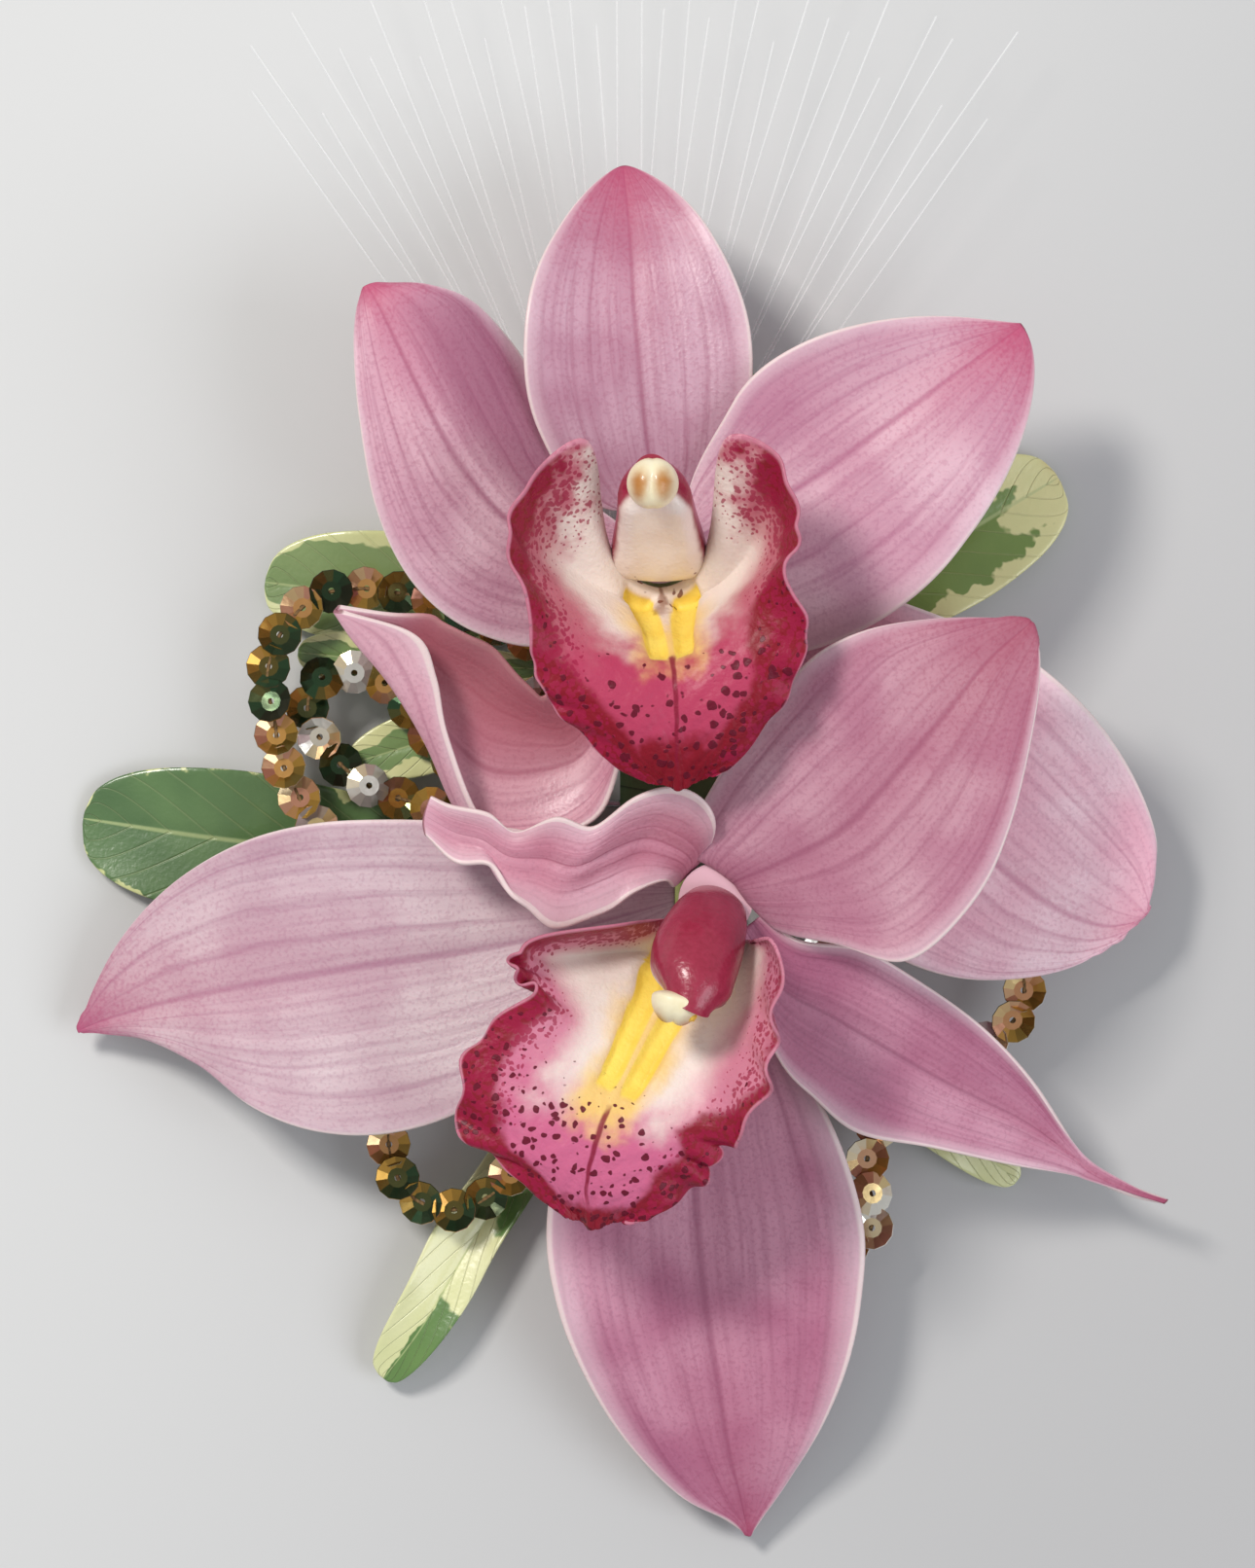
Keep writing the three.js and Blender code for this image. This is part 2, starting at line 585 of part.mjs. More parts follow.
// Taped wire stem from a point outside into its lane of the binding
function stem(name, start, startHeading, lane, level, side) {
  const away = start.clone().add(new THREE.Vector3(
    Math.cos((startHeading + 180) * degrees),
    Math.sin((startHeading + 180) * degrees),
    0,
  ).multiplyScalar(stemReach));
  const inner = new THREE.Vector3(lane, side * stemEndGap / 2, level);
  const entry = new THREE.Vector3(lane, side * bindingLength * 0.55, level);
  const mouthReach = Math.min(bindingLength * 0.35, entry.distanceTo(start) * 0.3);
  const mouth = entry.clone().add(new THREE.Vector3(0, side * mouthReach, 0));
  const path = new THREE.CurvePath();
  path.add(new THREE.CubicBezierCurve3(start, away, mouth, entry));
  path.add(new THREE.LineCurve3(entry, inner));
  add(name, tube(path, stemRadius, 6, 8), tapeGreen);
}

// Middle of the binding's upper end for side 1 and of its lower end for side -1, from which the
// places of leaves and loops are measured
const bindingEnd = (side) => new THREE.Vector3(0, (side * bindingLength) / 2, 0);

// Leaves: a blade on a petiole, and a taped wire stem that starts at the petiole's end
function leaf(name, shape, lane, side) {
  const seat = inSpan(shape.baseShares).add(bindingEnd(side));
  const blade = {
    ...shape, seat, baseWidth: petioleWidth, tipWidth: leafTipWidth, rolls: [shape.roll, shape.roll],
  };
  add(name, sheet(bladeSurface(blade), leafThickness, 9, 4), leafGreen);
  const first = shape.spineShares[1];
  const heading = shape.heading + Math.atan2(first[1], first[0]) / degrees;
  const outward = new THREE.Vector3(Math.cos(heading * degrees), Math.sin(heading * degrees), 0);
  const start = seat.clone().addScaledVector(outward, -fit);
  stem(`${name}_stem`, start, heading, lane, backRowLevel, side);
}

leaf('right_leaf', {
  baseShares: [0.0917, 0.05, 0.0217], heading: 27, lengthShare: 0.3167, roll: 0,
  spineShares: [[0, 0, 0], [0.25, -0.01, 0.02], [0.6, 0, 0.03], [1, 0, -0.03]],
  left: { widthShare: 0.0567, peakShare: 0.6, point: 0.45, liftShare: 0.1 },
  right: { widthShare: 0.06, peakShare: 0.62, point: 0.4, liftShare: 0.1 },
}, laneFar, 1);
leaf('top_leaf', {
  baseShares: [0.0217, 0.0625, 0.02], heading: 79, lengthShare: 0.2542, roll: 0,
  spineShares: [[0, 0, 0], [0.3, 0.01, 0], [0.6, 0, 0.02], [1, 0, 0.03]],
  left: { widthShare: 0.0333, peakShare: 0.6, point: 0.5, liftShare: 0.1 },
  right: { widthShare: 0.0333, peakShare: 0.6, point: 0.5, liftShare: 0.1 },
}, laneNear, 1);
leaf('upper_left_leaf', {
  baseShares: [-0.0917, 0.08, 0.02], heading: 174, lengthShare: 0.3083, roll: 0,
  spineShares: [[0, 0, 0], [0.3, 0.0, 0], [0.65, 0.01, 0.03], [1, 0, 0]],
  left: { widthShare: 0.0433, peakShare: 0.65, point: 0.4, liftShare: 0.1 },
  right: { widthShare: 0.06, peakShare: 0.6, point: 0.45, liftShare: 0.1 },
}, 0, 1);
leaf('inner_left_leaf', {
  baseShares: [-0.1333, 0.0283, 0.0408], heading: 176, lengthShare: 0.2333, roll: 0,
  spineShares: [[0, 0, 0], [0.3, 0, 0], [0.65, 0.01, 0], [1, 0, 0]],
  left: { widthShare: 0.0233, peakShare: 0.65, point: 0.5, liftShare: 0.1 },
  right: { widthShare: 0.0233, peakShare: 0.65, point: 0.5, liftShare: 0.1 },
}, -laneNear, 1);
leaf('left_leaf', {
  baseShares: [-0.1667, -0.0166, 0.0133], heading: 175, lengthShare: 0.4083, roll: 0,
  spineShares: [[0, 0, 0], [0.3, 0.02, 0], [0.65, 0.02, 0.02], [1, 0, -0.01]],
  left: { widthShare: 0.0667, peakShare: 0.68, point: 0.42, liftShare: 0.12 },
  right: { widthShare: 0.0633, peakShare: 0.64, point: 0.45, liftShare: 0.1 },
}, -laneFar, -1);
leaf('centre_left_leaf', {
  baseShares: [-0.1017, 0.0033, 0.0175], heading: 197, lengthShare: 0.225, roll: 0,
  spineShares: [[0, 0, 0], [0.3, 0, 0.07], [0.65, 0, 0.11], [1, 0, 0.1]],
  left: { widthShare: 0.0283, peakShare: 0.6, point: 0.5, liftShare: 0.1 },
  right: { widthShare: 0.0283, peakShare: 0.6, point: 0.5, liftShare: 0.1 },
}, -laneFar, 1);
leaf('bottom_left_leaf', {
  baseShares: [-0.0667, -0.1833, 0.0217], heading: 237, lengthShare: 0.4, roll: 0,
  spineShares: [[0, 0, 0], [0.3, 0.0, 0.01], [0.6, 0.0, 0.03], [0.85, 0.01, 0.03], [1, 0, -0.01]],
  left: { widthShare: 0.0215, peakShare: 0.66, point: 0.4, liftShare: 0.4 },
  right: { widthShare: 0.0333, peakShare: 0.6, point: 0.4, liftShare: 0.4 },
}, -laneNear, -1);
leaf('bottom_right_leaf', {
  baseShares: [0.0917, -0.1666, 0.0217], heading: -35, lengthShare: 0.2833, roll: 0,
  spineShares: [[0, 0, 0], [0.3, 0.0, 0.01], [0.6, 0.02, 0.03], [1, 0, -0.03]],
  left: { widthShare: 0.025, peakShare: 0.6, point: 0.5, liftShare: 0.1 },
  right: { widthShare: 0.025, peakShare: 0.6, point: 0.5, liftShare: 0.1 },
}, laneFar, -1);

// Sequin loops: cup sequins on a thread whose two ends meet at a taped wire stem
function sequinLoop(name, routeShares, gapHeading, tieHeading, lane, side) {
  const route = routeShares.map((shares) => inSpan(shares).add(bindingEnd(side)));
  const acrossGap = new THREE.Vector3(Math.cos(gapHeading * degrees), Math.sin(gapHeading * degrees), 0);
  route.push(route[0].clone().addScaledVector(acrossGap, loopEndGap));
  const curve = new THREE.CatmullRomCurve3(route, false, 'centripetal');
  const length = curve.getLength();
  const count = Math.floor(length / sequinPitch);
  let body = solid(tube(curve, threadRadius, 3, Math.round(count * 1.2)));
  const corners = 6;
  const radius = sequinDiameter / 2;
  for (let place = 1; place < count; place += 1) {
    const centre = curve.getPointAt(place / count);
    const heading = curve.getTangentAt(place / count);
    const turn = Math.atan2(heading.y, heading.x);
    const rings = [0, sequinThickness].map((level) => {
      const ring = [];
      for (let corner = 0; corner < corners; corner += 1) {
        const angle = turn + ((corner + 0.5) / corners) * 2 * Math.PI;
        ring.push(centre.clone().add(new THREE.Vector3(
          radius * Math.cos(angle),
          radius * Math.sin(angle),
          level + sequinCup * 0.3,
        )));
      }
      return ring;
    });
    body = body.add(solid(loft(rings)));
  }
  add(name, geometryOf(body), sequinGold);
  const start = curve.getPoint(0).add(curve.getPoint(1)).multiplyScalar(0.5);
  const behind = threadRadius + fit;
  const outward = new THREE.Vector3(Math.cos(tieHeading * degrees), Math.sin(tieHeading * degrees), 0);
  start.addScaledVector(outward, -behind);
  stem(`${name}_stem`, start, tieHeading, lane, frontRowLevel, side);
}

sequinLoop('outer_left_loop', [
  [-0.1167, 0.0416, 0.08], [-0.1833, 0.075, 0.08], [-0.2417, 0.0958, 0.0783],
  [-0.275, 0.1016, 0.0767], [-0.3075, 0.105, 0.075], [-0.3442, 0.0983, 0.075],
  [-0.3692, 0.0783, 0.075], [-0.3867, 0.0508, 0.075], [-0.3942, 0.0158, 0.075],
  [-0.3867, -0.0209, 0.075], [-0.3817, -0.0559, 0.075], [-0.3683, -0.0834, 0.075],
  [-0.3558, -0.1084, 0.075], [-0.33, -0.1359, 0.075], [-0.2833, -0.1542, 0.075],
  [-0.2167, -0.1167, 0.0783], [-0.1583, -0.0334, 0.08],
], -90, 150, -laneFar, 1);
sequinLoop('inner_left_loop', [
  [-0.1167, -0.0067, 0.055], [-0.175, 0.0425, 0.055], [-0.2292, 0.085, 0.055],
  [-0.2525, 0.1167, 0.055], [-0.275, 0.145, 0.055], [-0.2983, 0.1567, 0.055], [-0.33, 0.1584, 0.055],
  [-0.3517, 0.1434, 0.055], [-0.355, 0.1142, 0.055], [-0.3367, 0.085, 0.055],
  [-0.3167, 0.0634, 0.055], [-0.2917, 0.0467, 0.055], [-0.2633, 0.0367, 0.055],
  [-0.2367, 0.0284, 0.055], [-0.1833, 0.0067, 0.055],
], -90, 170, -laneFar, -1);
sequinLoop('bottom_left_loop', [
  [-0.075, -0.15, 0.0617], [-0.15, -0.175, 0.0617], [-0.225, -0.2125, 0.0617],
  [-0.2667, -0.25, 0.0617], [-0.2783, -0.2775, 0.0617], [-0.275, -0.3091, 0.0617],
  [-0.2617, -0.3366, 0.0617], [-0.235, -0.3533, 0.0617], [-0.2017, -0.3516, 0.0617],
  [-0.1725, -0.3333, 0.0617], [-0.1542, -0.305, 0.0617], [-0.1217, -0.2416, 0.0617],
], 0, 250, -laneNear, -1);
sequinLoop('right_loop', [
  [0.1083, -0.1166, 0.0617], [0.2, -0.0791, 0.0617], [0.2833, -0.0833, 0.0617],
  [0.325, -0.125, 0.0617], [0.3267, -0.1583, 0.0617], [0.3117, -0.1816, 0.0617],
  [0.2833, -0.2, 0.0617], [0.2292, -0.2366, 0.0617], [0.1883, -0.275, 0.0617],
  [0.1775, -0.3216, 0.0617], [0.185, -0.355, 0.0617], [0.1733, -0.3866, 0.0617],
  [0.1375, -0.3833, 0.0617], [0.1133, -0.3333, 0.0617], [0.105, -0.25, 0.0617],
], 180, 260, laneFar, -1);

// Clear spray: a taped ferrule in its lane, the filaments' roots fanned flat side by side, and the
// straight filaments that run out from that fan
const ferruleTop = new THREE.Vector3(
  -laneNear + ferruleLean,
  bindingLength / 2 + ferruleReach,
  frontRowLevel,
);
const ferrulePath = new THREE.CatmullRomCurve3([
  new THREE.Vector3(-laneNear, stemEndGap / 2, frontRowLevel),
  new THREE.Vector3(-laneNear, bindingLength / 2, frontRowLevel),
  ferruleTop,
]);
const rootFan = new THREE.Shape();
const fanMiddle = 90 * degrees;
const fanHalf = (strandSpread / 2) * degrees + Math.asin(strandRadius / fanRadius);
rootFan.moveTo(0, -stemRadius / 2);
rootFan.lineTo(fanRadius * Math.sin(fanHalf), fanRadius * Math.cos(fanHalf));
rootFan.absarc(0, 0, fanRadius, fanMiddle - fanHalf, fanMiddle + fanHalf);
rootFan.closePath();
const rootPlate = new THREE.ExtrudeGeometry(rootFan, {
  depth: 2 * strandRadius,
  bevelEnabled: false,
  curveSegments: 12,
});
let spray = solid(tube(ferrulePath, stemRadius, 8, 6))
  .add(solid(rootPlate.translate(ferruleTop.x, ferruleTop.y, ferruleTop.z - strandRadius)));
for (let place = 0; place < strandCount; place += 1) {
  const heading = (90 + strandSpread * (0.5 - place / (strandCount - 1))) * degrees;
  const reach = strandLength * (0.92 + 0.08 * Math.sin(place * 2.4));
  const rise = reach * (0.05 + 0.02 * Math.cos(place * 1.7));
  const direction = new THREE.Vector3(Math.cos(heading), Math.sin(heading), 0);
  const start = ferruleTop.clone().addScaledVector(direction, fanRadius - overrun);
  const end = ferruleTop.clone().addScaledVector(direction, reach).addScaledVector(up, rise);
  spray = spray.add(solid(tube(new THREE.LineCurve3(start, end), strandRadius, 3, 1)));
}
add('clear_spray', geometryOf(spray), filamentClear);

// Binding: flattened tube of tape with two pin holes through its sides, between the stem rows
function roundedFlat(width, height, radius, length) {
  const outline = new THREE.Shape();
  const left = -width / 2;
  const right = width / 2;
  outline.moveTo(left + radius, 0);
  outline.lineTo(right - radius, 0);
  outline.absarc(right - radius, radius, radius, -90 * degrees, 0);
  outline.lineTo(right, height - radius);
  outline.absarc(right - radius, height - radius, radius, 0, 90 * degrees);
  outline.lineTo(left + radius, height);
  outline.absarc(left + radius, height - radius, radius, 90 * degrees, 180 * degrees);
  outline.lineTo(left, radius);
  outline.absarc(left + radius, radius, radius, 180 * degrees, 270 * degrees);
  const extent = { depth: length, bevelEnabled: false, curveSegments: 4 };
  const geometry = new THREE.ExtrudeGeometry(outline, extent);
  return geometry.rotateX(90 * degrees).translate(0, length / 2, 0);
}

const cornerRadius = bindingWall * 2;
const outerSleeve = solid(roundedFlat(bindingWidth, bindingHeight, cornerRadius, bindingLength));
const innerSleeve = solid(roundedFlat(
  bindingWidth - 2 * bindingWall,
  bindingHeight - 2 * bindingWall,
  cornerRadius / 2,
  bindingLength + 2 * overrun,
).translate(0, 0, bindingWall));
let sleeve = outerSleeve.subtract(innerSleeve);
const pinRows = [pinPitch / 2, -pinPitch / 2];
pinRows.forEach((row) => {
  const drill = new THREE.CylinderGeometry(pinHoleRadius, pinHoleRadius, bindingWidth + 2 * overrun, 12);
  sleeve = sleeve.subtract(solid(drill.rotateZ(90 * degrees).translate(0, row, pinLevel)));
});
add('binding_tape', geometryOf(sleeve), tapeGreen);

// Pins: a pointed steel shaft through the binding, with a pearl head on its right end
pinRows.forEach((row, place) => {
  const shaftEnd = pinLength - pinTipReach - bindingWidth / 2;
  const straight = pinLength - pinTipLength;
  const shaft = new THREE.LatheGeometry([
    new THREE.Vector2(0, 0),
    new THREE.Vector2(pinRadius, 0),
    new THREE.Vector2(pinRadius, straight),
    new THREE.Vector2(pinRadius / 4, pinLength),
    new THREE.Vector2(0, pinLength),
  ], 10);
  const pin = add(`pin_${place + 1}_shaft`, mergeVertices(shaft), pinSteel);
  pin.rotation.z = 90 * degrees;
  pin.position.set(shaftEnd, row, pinLevel);
  const ball = new THREE.SphereGeometry(pearlRadius, 12, 8);
  ball.translate(shaftEnd + fit + pearlRadius, row, pinLevel);
  add(`pin_${place + 1}_pearl`, ball, pearlWhite);
});

export default corsage;
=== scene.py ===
# Orchid corsage, dressed in the order in which a florist makes it: stems and binding, pins,
# leaves, sequin loops, clear filaments, then the lower and the upper bloom.
# Lengths are in millimetres here and become metres where a mesh is placed.
import math
import random

import bpy
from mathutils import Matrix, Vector


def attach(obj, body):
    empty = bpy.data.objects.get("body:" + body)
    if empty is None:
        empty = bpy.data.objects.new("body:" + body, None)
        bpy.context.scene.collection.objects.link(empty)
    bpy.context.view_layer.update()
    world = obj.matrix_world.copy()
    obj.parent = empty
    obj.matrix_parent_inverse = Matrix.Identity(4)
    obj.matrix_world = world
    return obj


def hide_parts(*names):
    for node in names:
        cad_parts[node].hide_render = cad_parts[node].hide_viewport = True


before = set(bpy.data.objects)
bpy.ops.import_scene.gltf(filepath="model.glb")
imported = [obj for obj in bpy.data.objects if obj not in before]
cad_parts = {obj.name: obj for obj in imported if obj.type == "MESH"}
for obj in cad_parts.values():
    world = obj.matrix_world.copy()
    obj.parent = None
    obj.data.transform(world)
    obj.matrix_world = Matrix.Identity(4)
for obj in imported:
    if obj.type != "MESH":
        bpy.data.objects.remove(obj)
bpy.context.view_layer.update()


# Camera: straight above the middle of the picture. At the blooms' height one pixel of the
# 1290 by 1612 picture is 0.11 mm, and the picture's middle lies left of and below the binding.
PIXEL = 0.11
PICTURE_COLUMNS = 1290
PICTURE_ROWS = 1612
PICTURE_MIDDLE = (-6.05, -1.76)
CAMERA_LEVEL = 1000
BLOOM_LEVEL = 20
SENSOR = 36

bpy.ops.object.select_all(action="DESELECT")
bpy.ops.object.camera_add(
    location=(PICTURE_MIDDLE[0] / 1000, PICTURE_MIDDLE[1] / 1000, CAMERA_LEVEL / 1000),
    rotation=(0, 0, 0),
)
camera = bpy.context.active_object
camera.data.sensor_width = SENSOR
camera.data.lens = SENSOR * (CAMERA_LEVEL - BLOOM_LEVEL) / (PICTURE_ROWS * PIXEL)
camera.data.clip_end = 10
bpy.context.scene.camera = camera
bpy.context.scene.view_settings.view_transform = "Standard"


# Studio: a pale matt floor under the corsage, one wide soft lamp from the upper left, a weak one
# from the right, and an even pale sky. All lie well outside the picture.
def linear(colour):
    """The shader's value of a colour written as six hex digits."""
    parts = [int(colour[place:place + 2], 16) / 255 for place in (0, 2, 4)]
    return [part / 12.92 if part <= 0.04045 else ((part + 0.055) / 1.055) ** 2.4 for part in parts] + [1]


def add_node(owner, kind, inputs=None, **settings):
    """A node in the tree of a material or socket; its inputs are linked to sockets or set to values."""
    tree = owner.node_tree if isinstance(owner, bpy.types.Material) else owner.id_data
    node = tree.nodes.new(kind)
    for name, value in settings.items():
        setattr(node, name, value)
    for socket, value in (inputs or {}).items():
        if isinstance(value, bpy.types.NodeSocket):
            tree.links.new(value, node.inputs[socket])
        else:
            node.inputs[socket].default_value = value
    return node


def math_node(operation, *values):
    """The outcome of an operation on values of which at least one is a socket."""
    owner = next(value for value in values if isinstance(value, bpy.types.NodeSocket))
    return add_node(owner, "ShaderNodeMath", dict(enumerate(values)), operation=operation).outputs[0]


def times(first, second):
    return math_node("MULTIPLY", first, second)


def plus(first, second):
    return math_node("ADD", first, second)


def less(first, second):
    return math_node("SUBTRACT", first, second)


def larger(first, second):
    return math_node("MAXIMUM", first, second)


def rest_of(share):
    return less(1.0, share)


def swing(value, reach):
    """A value round a half, such as a noise, turned into one round nought."""
    return times(less(value, 0.5), reach)


def from_midline(share):
    """0 in the middle of a width and 1 at both its rims."""
    return math_node("ABSOLUTE", less(times(share, 2.0), 1.0))


def steps_between(value, low, high):
    """0 below the low value, 1 above the high one, and a smooth change between them."""
    return add_node(
        value, "ShaderNodeMapRange", {"Value": value, "From Min": low, "From Max": high},
        interpolation_type="SMOOTHSTEP",
    ).outputs["Result"]


def fading_between(value, low, high):
    return rest_of(steps_between(value, low, high))


def own_place(material):
    """The object's own coordinates, which stay with it as it moves."""
    return add_node(material, "ShaderNodeTexCoord").outputs["Object"]


def noise(place, scale, detail=2.0):
    inputs = {"Vector": place, "Scale": scale, "Detail": detail}
    return add_node(place, "ShaderNodeTexNoise", inputs).outputs["Fac"]


def blend_colours(share, first, second):
    """Goes from the first colour to the second as the share goes from 0 to 1."""
    node = add_node(share, "ShaderNodeMix", data_type="RGBA")
    sockets = {socket.name: socket for socket in node.inputs if socket.enabled}
    for name, value in (("Factor", share), ("A", first), ("B", second)):
        if isinstance(value, bpy.types.NodeSocket):
            share.id_data.links.new(value, sockets[name])
        else:
            sockets[name].default_value = linear(value)
    return [socket for socket in node.outputs if socket.enabled][0]


def tinted(colour, share, strength, tint):
    return blend_colours(times(share, strength), colour, tint)


def plain_material(name, values):
    """A new material whose shader has the values given, and that shader."""
    material = bpy.data.materials.new(name)
    material.use_nodes = True
    shader = material.node_tree.nodes["Principled BSDF"]
    for socket, value in values.items():
        shader.inputs[socket].default_value = value
    return material, shader


def colour_shader(shader, colour, height=None, depth=0.0002):
    """Links the colour, and a bump of some depth in metres from the height where there is one."""
    links = shader.id_data.links
    links.new(colour, shader.inputs["Base Color"])
    if height is not None:
        bump = add_node(colour, "ShaderNodeBump", {"Height": height, "Strength": 1.0, "Distance": depth})
        links.new(bump.outputs["Normal"], shader.inputs["Normal"])


FLOOR_SIZE = 6000
bpy.ops.mesh.primitive_plane_add(size=FLOOR_SIZE / 1000, location=(0, 0, 0))
floor = bpy.context.active_object
floor.name = "studio_floor"
floor_paint, floor_shader = plain_material("studio_floor", {"Roughness": 0.9})
floor_grain = add_node(floor_paint, "ShaderNodeTexNoise", {"Scale": 3.0, "Detail": 2.0})
floor_colour = blend_colours(floor_grain.outputs["Fac"], "d0d1d1", "d6d7d7")
# Painted shade: it darkens a little towards the lower right, where the lamps' light falls off
floor_place = add_node(floor_paint, "ShaderNodeSeparateXYZ", {0: own_place(floor_paint)})
floor_falloff_slope = less(floor_place.outputs[0], times(floor_place.outputs[1], 0.5))
floor_colour = blend_colours(steps_between(floor_falloff_slope, -0.09, 0.13), floor_colour, "b4b4b5")
colour_shader(floor_shader, floor_colour)
floor.data.materials.append(floor_paint)

sky = bpy.data.worlds.new("studio_sky")
sky.use_nodes = True
sky.node_tree.nodes["Background"].inputs["Color"].default_value = linear("f4f6f8")
sky.node_tree.nodes["Background"].inputs["Strength"].default_value = 0.47
bpy.context.scene.world = sky


def studio_lamp(name, place, size, power, colour):
    """A square soft lamp at a place in millimetres, aimed at the corsage."""
    bpy.ops.object.light_add(type="AREA", location=[length / 1000 for length in place])
    lamp = bpy.context.active_object
    lamp.name = name
    lamp.rotation_euler = Vector(place).to_track_quat("Z", "Y").to_euler()
    lamp.data.size = size / 1000
    lamp.data.energy = power
    lamp.data.color = linear(colour)[:3]


studio_lamp("window_lamp", (-560, 560, 1000), size=270, power=10.8, colour="fffaf4")
studio_lamp("fill_lamp", (750, -250, 800), size=700, power=5, colour="f4f8ff")


# Taped stems: each leaf and loop stands on its own florist's wire, wound in green waxed tape, that
# bends into the binding. Leaf stems lie in the back row and loop stems in the front row.
BLOOM_SPAN = 120
BINDING_LENGTH = 16
STEM_RADIUS = 0.9
STEM_END_GAP = 1
STEM_REACH = BLOOM_SPAN * 0.044
LANE_NEAR = 2.6
LANE_FAR = 4.8
BACK_ROW_LEVEL = 2.1
FRONT_ROW_LEVEL = 5.3
UP = Vector((0, 0, 1))


def heading_vector(heading):
    return Vector((math.cos(math.radians(heading)), math.sin(math.radians(heading)), 0))


def in_span(shares):
    """A place in millimetres from its shares of the bloom span."""
    return Vector(shares) * BLOOM_SPAN


def binding_end(side):
    """Middle of the binding's upper end for side 1 and of its lower end for side -1."""
    return Vector((0, side * BINDING_LENGTH / 2, 0))


def even_path(points, count=160):
    """The same line with its points spaced evenly by length."""
    lengths = [0]
    for first, second in zip(points, points[1:]):
        lengths.append(lengths[-1] + (second - first).length)
    even = []
    place = 0
    for step in range(count + 1):
        wanted = lengths[-1] * step / count
        while place < len(points) - 2 and lengths[place + 1] < wanted:
            place += 1
        gap = max(lengths[place + 1] - lengths[place], 1e-9)
        even.append(points[place].lerp(points[place + 1], min((wanted - lengths[place]) / gap, 1)))
    return even


def cubic_point(start, leave, end, arrive, share):
    """A place on the smooth line from the start to the end that has these directions there."""
    square, cube = share ** 2, share ** 3
    return (
        start * (2 * cube - 3 * square + 1) + leave * (cube - 2 * square + share)
        + end * (3 * square - 2 * cube) + arrive * (cube - square)
    )


def curve_through(points):
    """A smooth line through the points, evenly spaced."""
    points = [points[0] * 2 - points[1], *points, points[-1] * 2 - points[-2]]
    fine = []
    for place in range(len(points) - 3):
        corners = points[place:place + 4]
        before, start, end, after = corners
        first, middle, last = [(b - a).length ** 0.5 for a, b in zip(corners, corners[1:])]
        leave = (start - before) / first - (end - before) / (first + middle) + (end - start) / middle
        arrive = (end - start) / middle - (after - start) / (middle + last) + (after - end) / last
        for step in range(32):
            fine.append(cubic_point(start, leave * middle, end, arrive * middle, step / 32))
    fine.append(points[-2])
    return even_path(fine)


def bend_through(start, away, mouth, end, steps=40):
    """A smooth bend from the start to the end, pulled towards the two points between."""
    line = []
    for step in range(steps + 1):
        t = step / steps
        rest = 1 - t
        line.append(start * rest ** 3 + away * 3 * t * rest ** 2 + mouth * 3 * t ** 2 * rest + end * t ** 3)
    return line


def on_path(path, share):
    """The place and direction at a share of an even path."""
    place = min(max(share, 0), 1) * (len(path) - 1)
    first = min(int(place), len(path) - 2)
    centre = path[first].lerp(path[first + 1], place - first)
    ahead = path[min(first + 2, len(path) - 1)]
    behind = path[max(first - 1, 0)]
    return centre, (ahead - behind).normalized()


def shaped_grid(name, surface, rows, columns):
    """A grid whose vertices are moved to surface(along, across); its UV map keeps both shares."""
    bpy.ops.object.select_all(action="DESELECT")
    bpy.ops.mesh.primitive_grid_add(x_subdivisions=rows, y_subdivisions=columns, size=1)
    piece = bpy.context.active_object
    piece.name = name
    for vertex in piece.data.vertices:
        vertex.co = surface(vertex.co.x + 0.5, vertex.co.y * 2) / 1000
    return piece


def rolled_tube(name, surface, rows, columns):
    """A grid rolled shut round surface(along, angle), its seam merged and its ends filled."""
    piece = shaped_grid(name, lambda along, across: surface(along, math.pi * across), rows, columns)
    bpy.ops.object.mode_set(mode="EDIT")
    bpy.ops.mesh.select_all(action="SELECT")
    bpy.ops.mesh.remove_doubles(threshold=1e-6)
    bpy.ops.mesh.fill_holes(sides=0)
    bpy.ops.mesh.normals_make_consistent(inside=False)
    bpy.ops.object.mode_set(mode="OBJECT")
    bpy.ops.object.shade_smooth_by_angle(angle=math.radians(40))
    return piece


def finish_piece(piece, material, body="corsage", replaced=()):
    """Paints a piece, lets it ride on its body, and hides the nodes for which it stands."""
    piece.data.materials.clear()
    piece.data.materials.append(material)
    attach(piece, body)
    if replaced:
        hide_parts(*replaced)


def path_tube(name, path, radius_at, rows, columns):
    """A round tube along a path; radius_at(along, angle) gives its radius."""
    def surface(along, angle):
        centre, tangent = on_path(path, along)
        across = Vector((-tangent.y, tangent.x, 0)).normalized()
        other = across.cross(tangent).normalized()
        radius = radius_at(along, angle)
        return centre + across * radius * math.cos(angle) + other * radius * math.sin(angle)
    return rolled_tube(name, surface, rows, columns)


def map_shares(material):
    """The shares that a piece's UV map keeps: along it, and across or round it."""
    uv_map = add_node(material, "ShaderNodeUVMap").outputs[0]
    return add_node(material, "ShaderNodeSeparateXYZ", {0: uv_map}).outputs


STEM_TAPE_TURNS = 9.0
tape_green, tape_shader = plain_material("floral_tape", {"Roughness": 0.6})
tape_along, tape_round = map_shares(tape_green)[:2]
crepe = noise(own_place(tape_green), 900.0, 3.0)
winding = math_node("FRACT", plus(times(tape_along, STEM_TAPE_TURNS), tape_round))
tape_patches = noise(own_place(tape_green), 160.0)
tape_colour = blend_colours(tape_patches, "466338", "6f8c58")
tape_colour = blend_colours(steps_between(winding, 0.86, 0.98), tape_colour, "39522e")
colour_shader(tape_shader, tape_colour, plus(winding, times(crepe, 0.5)), 0.0001)


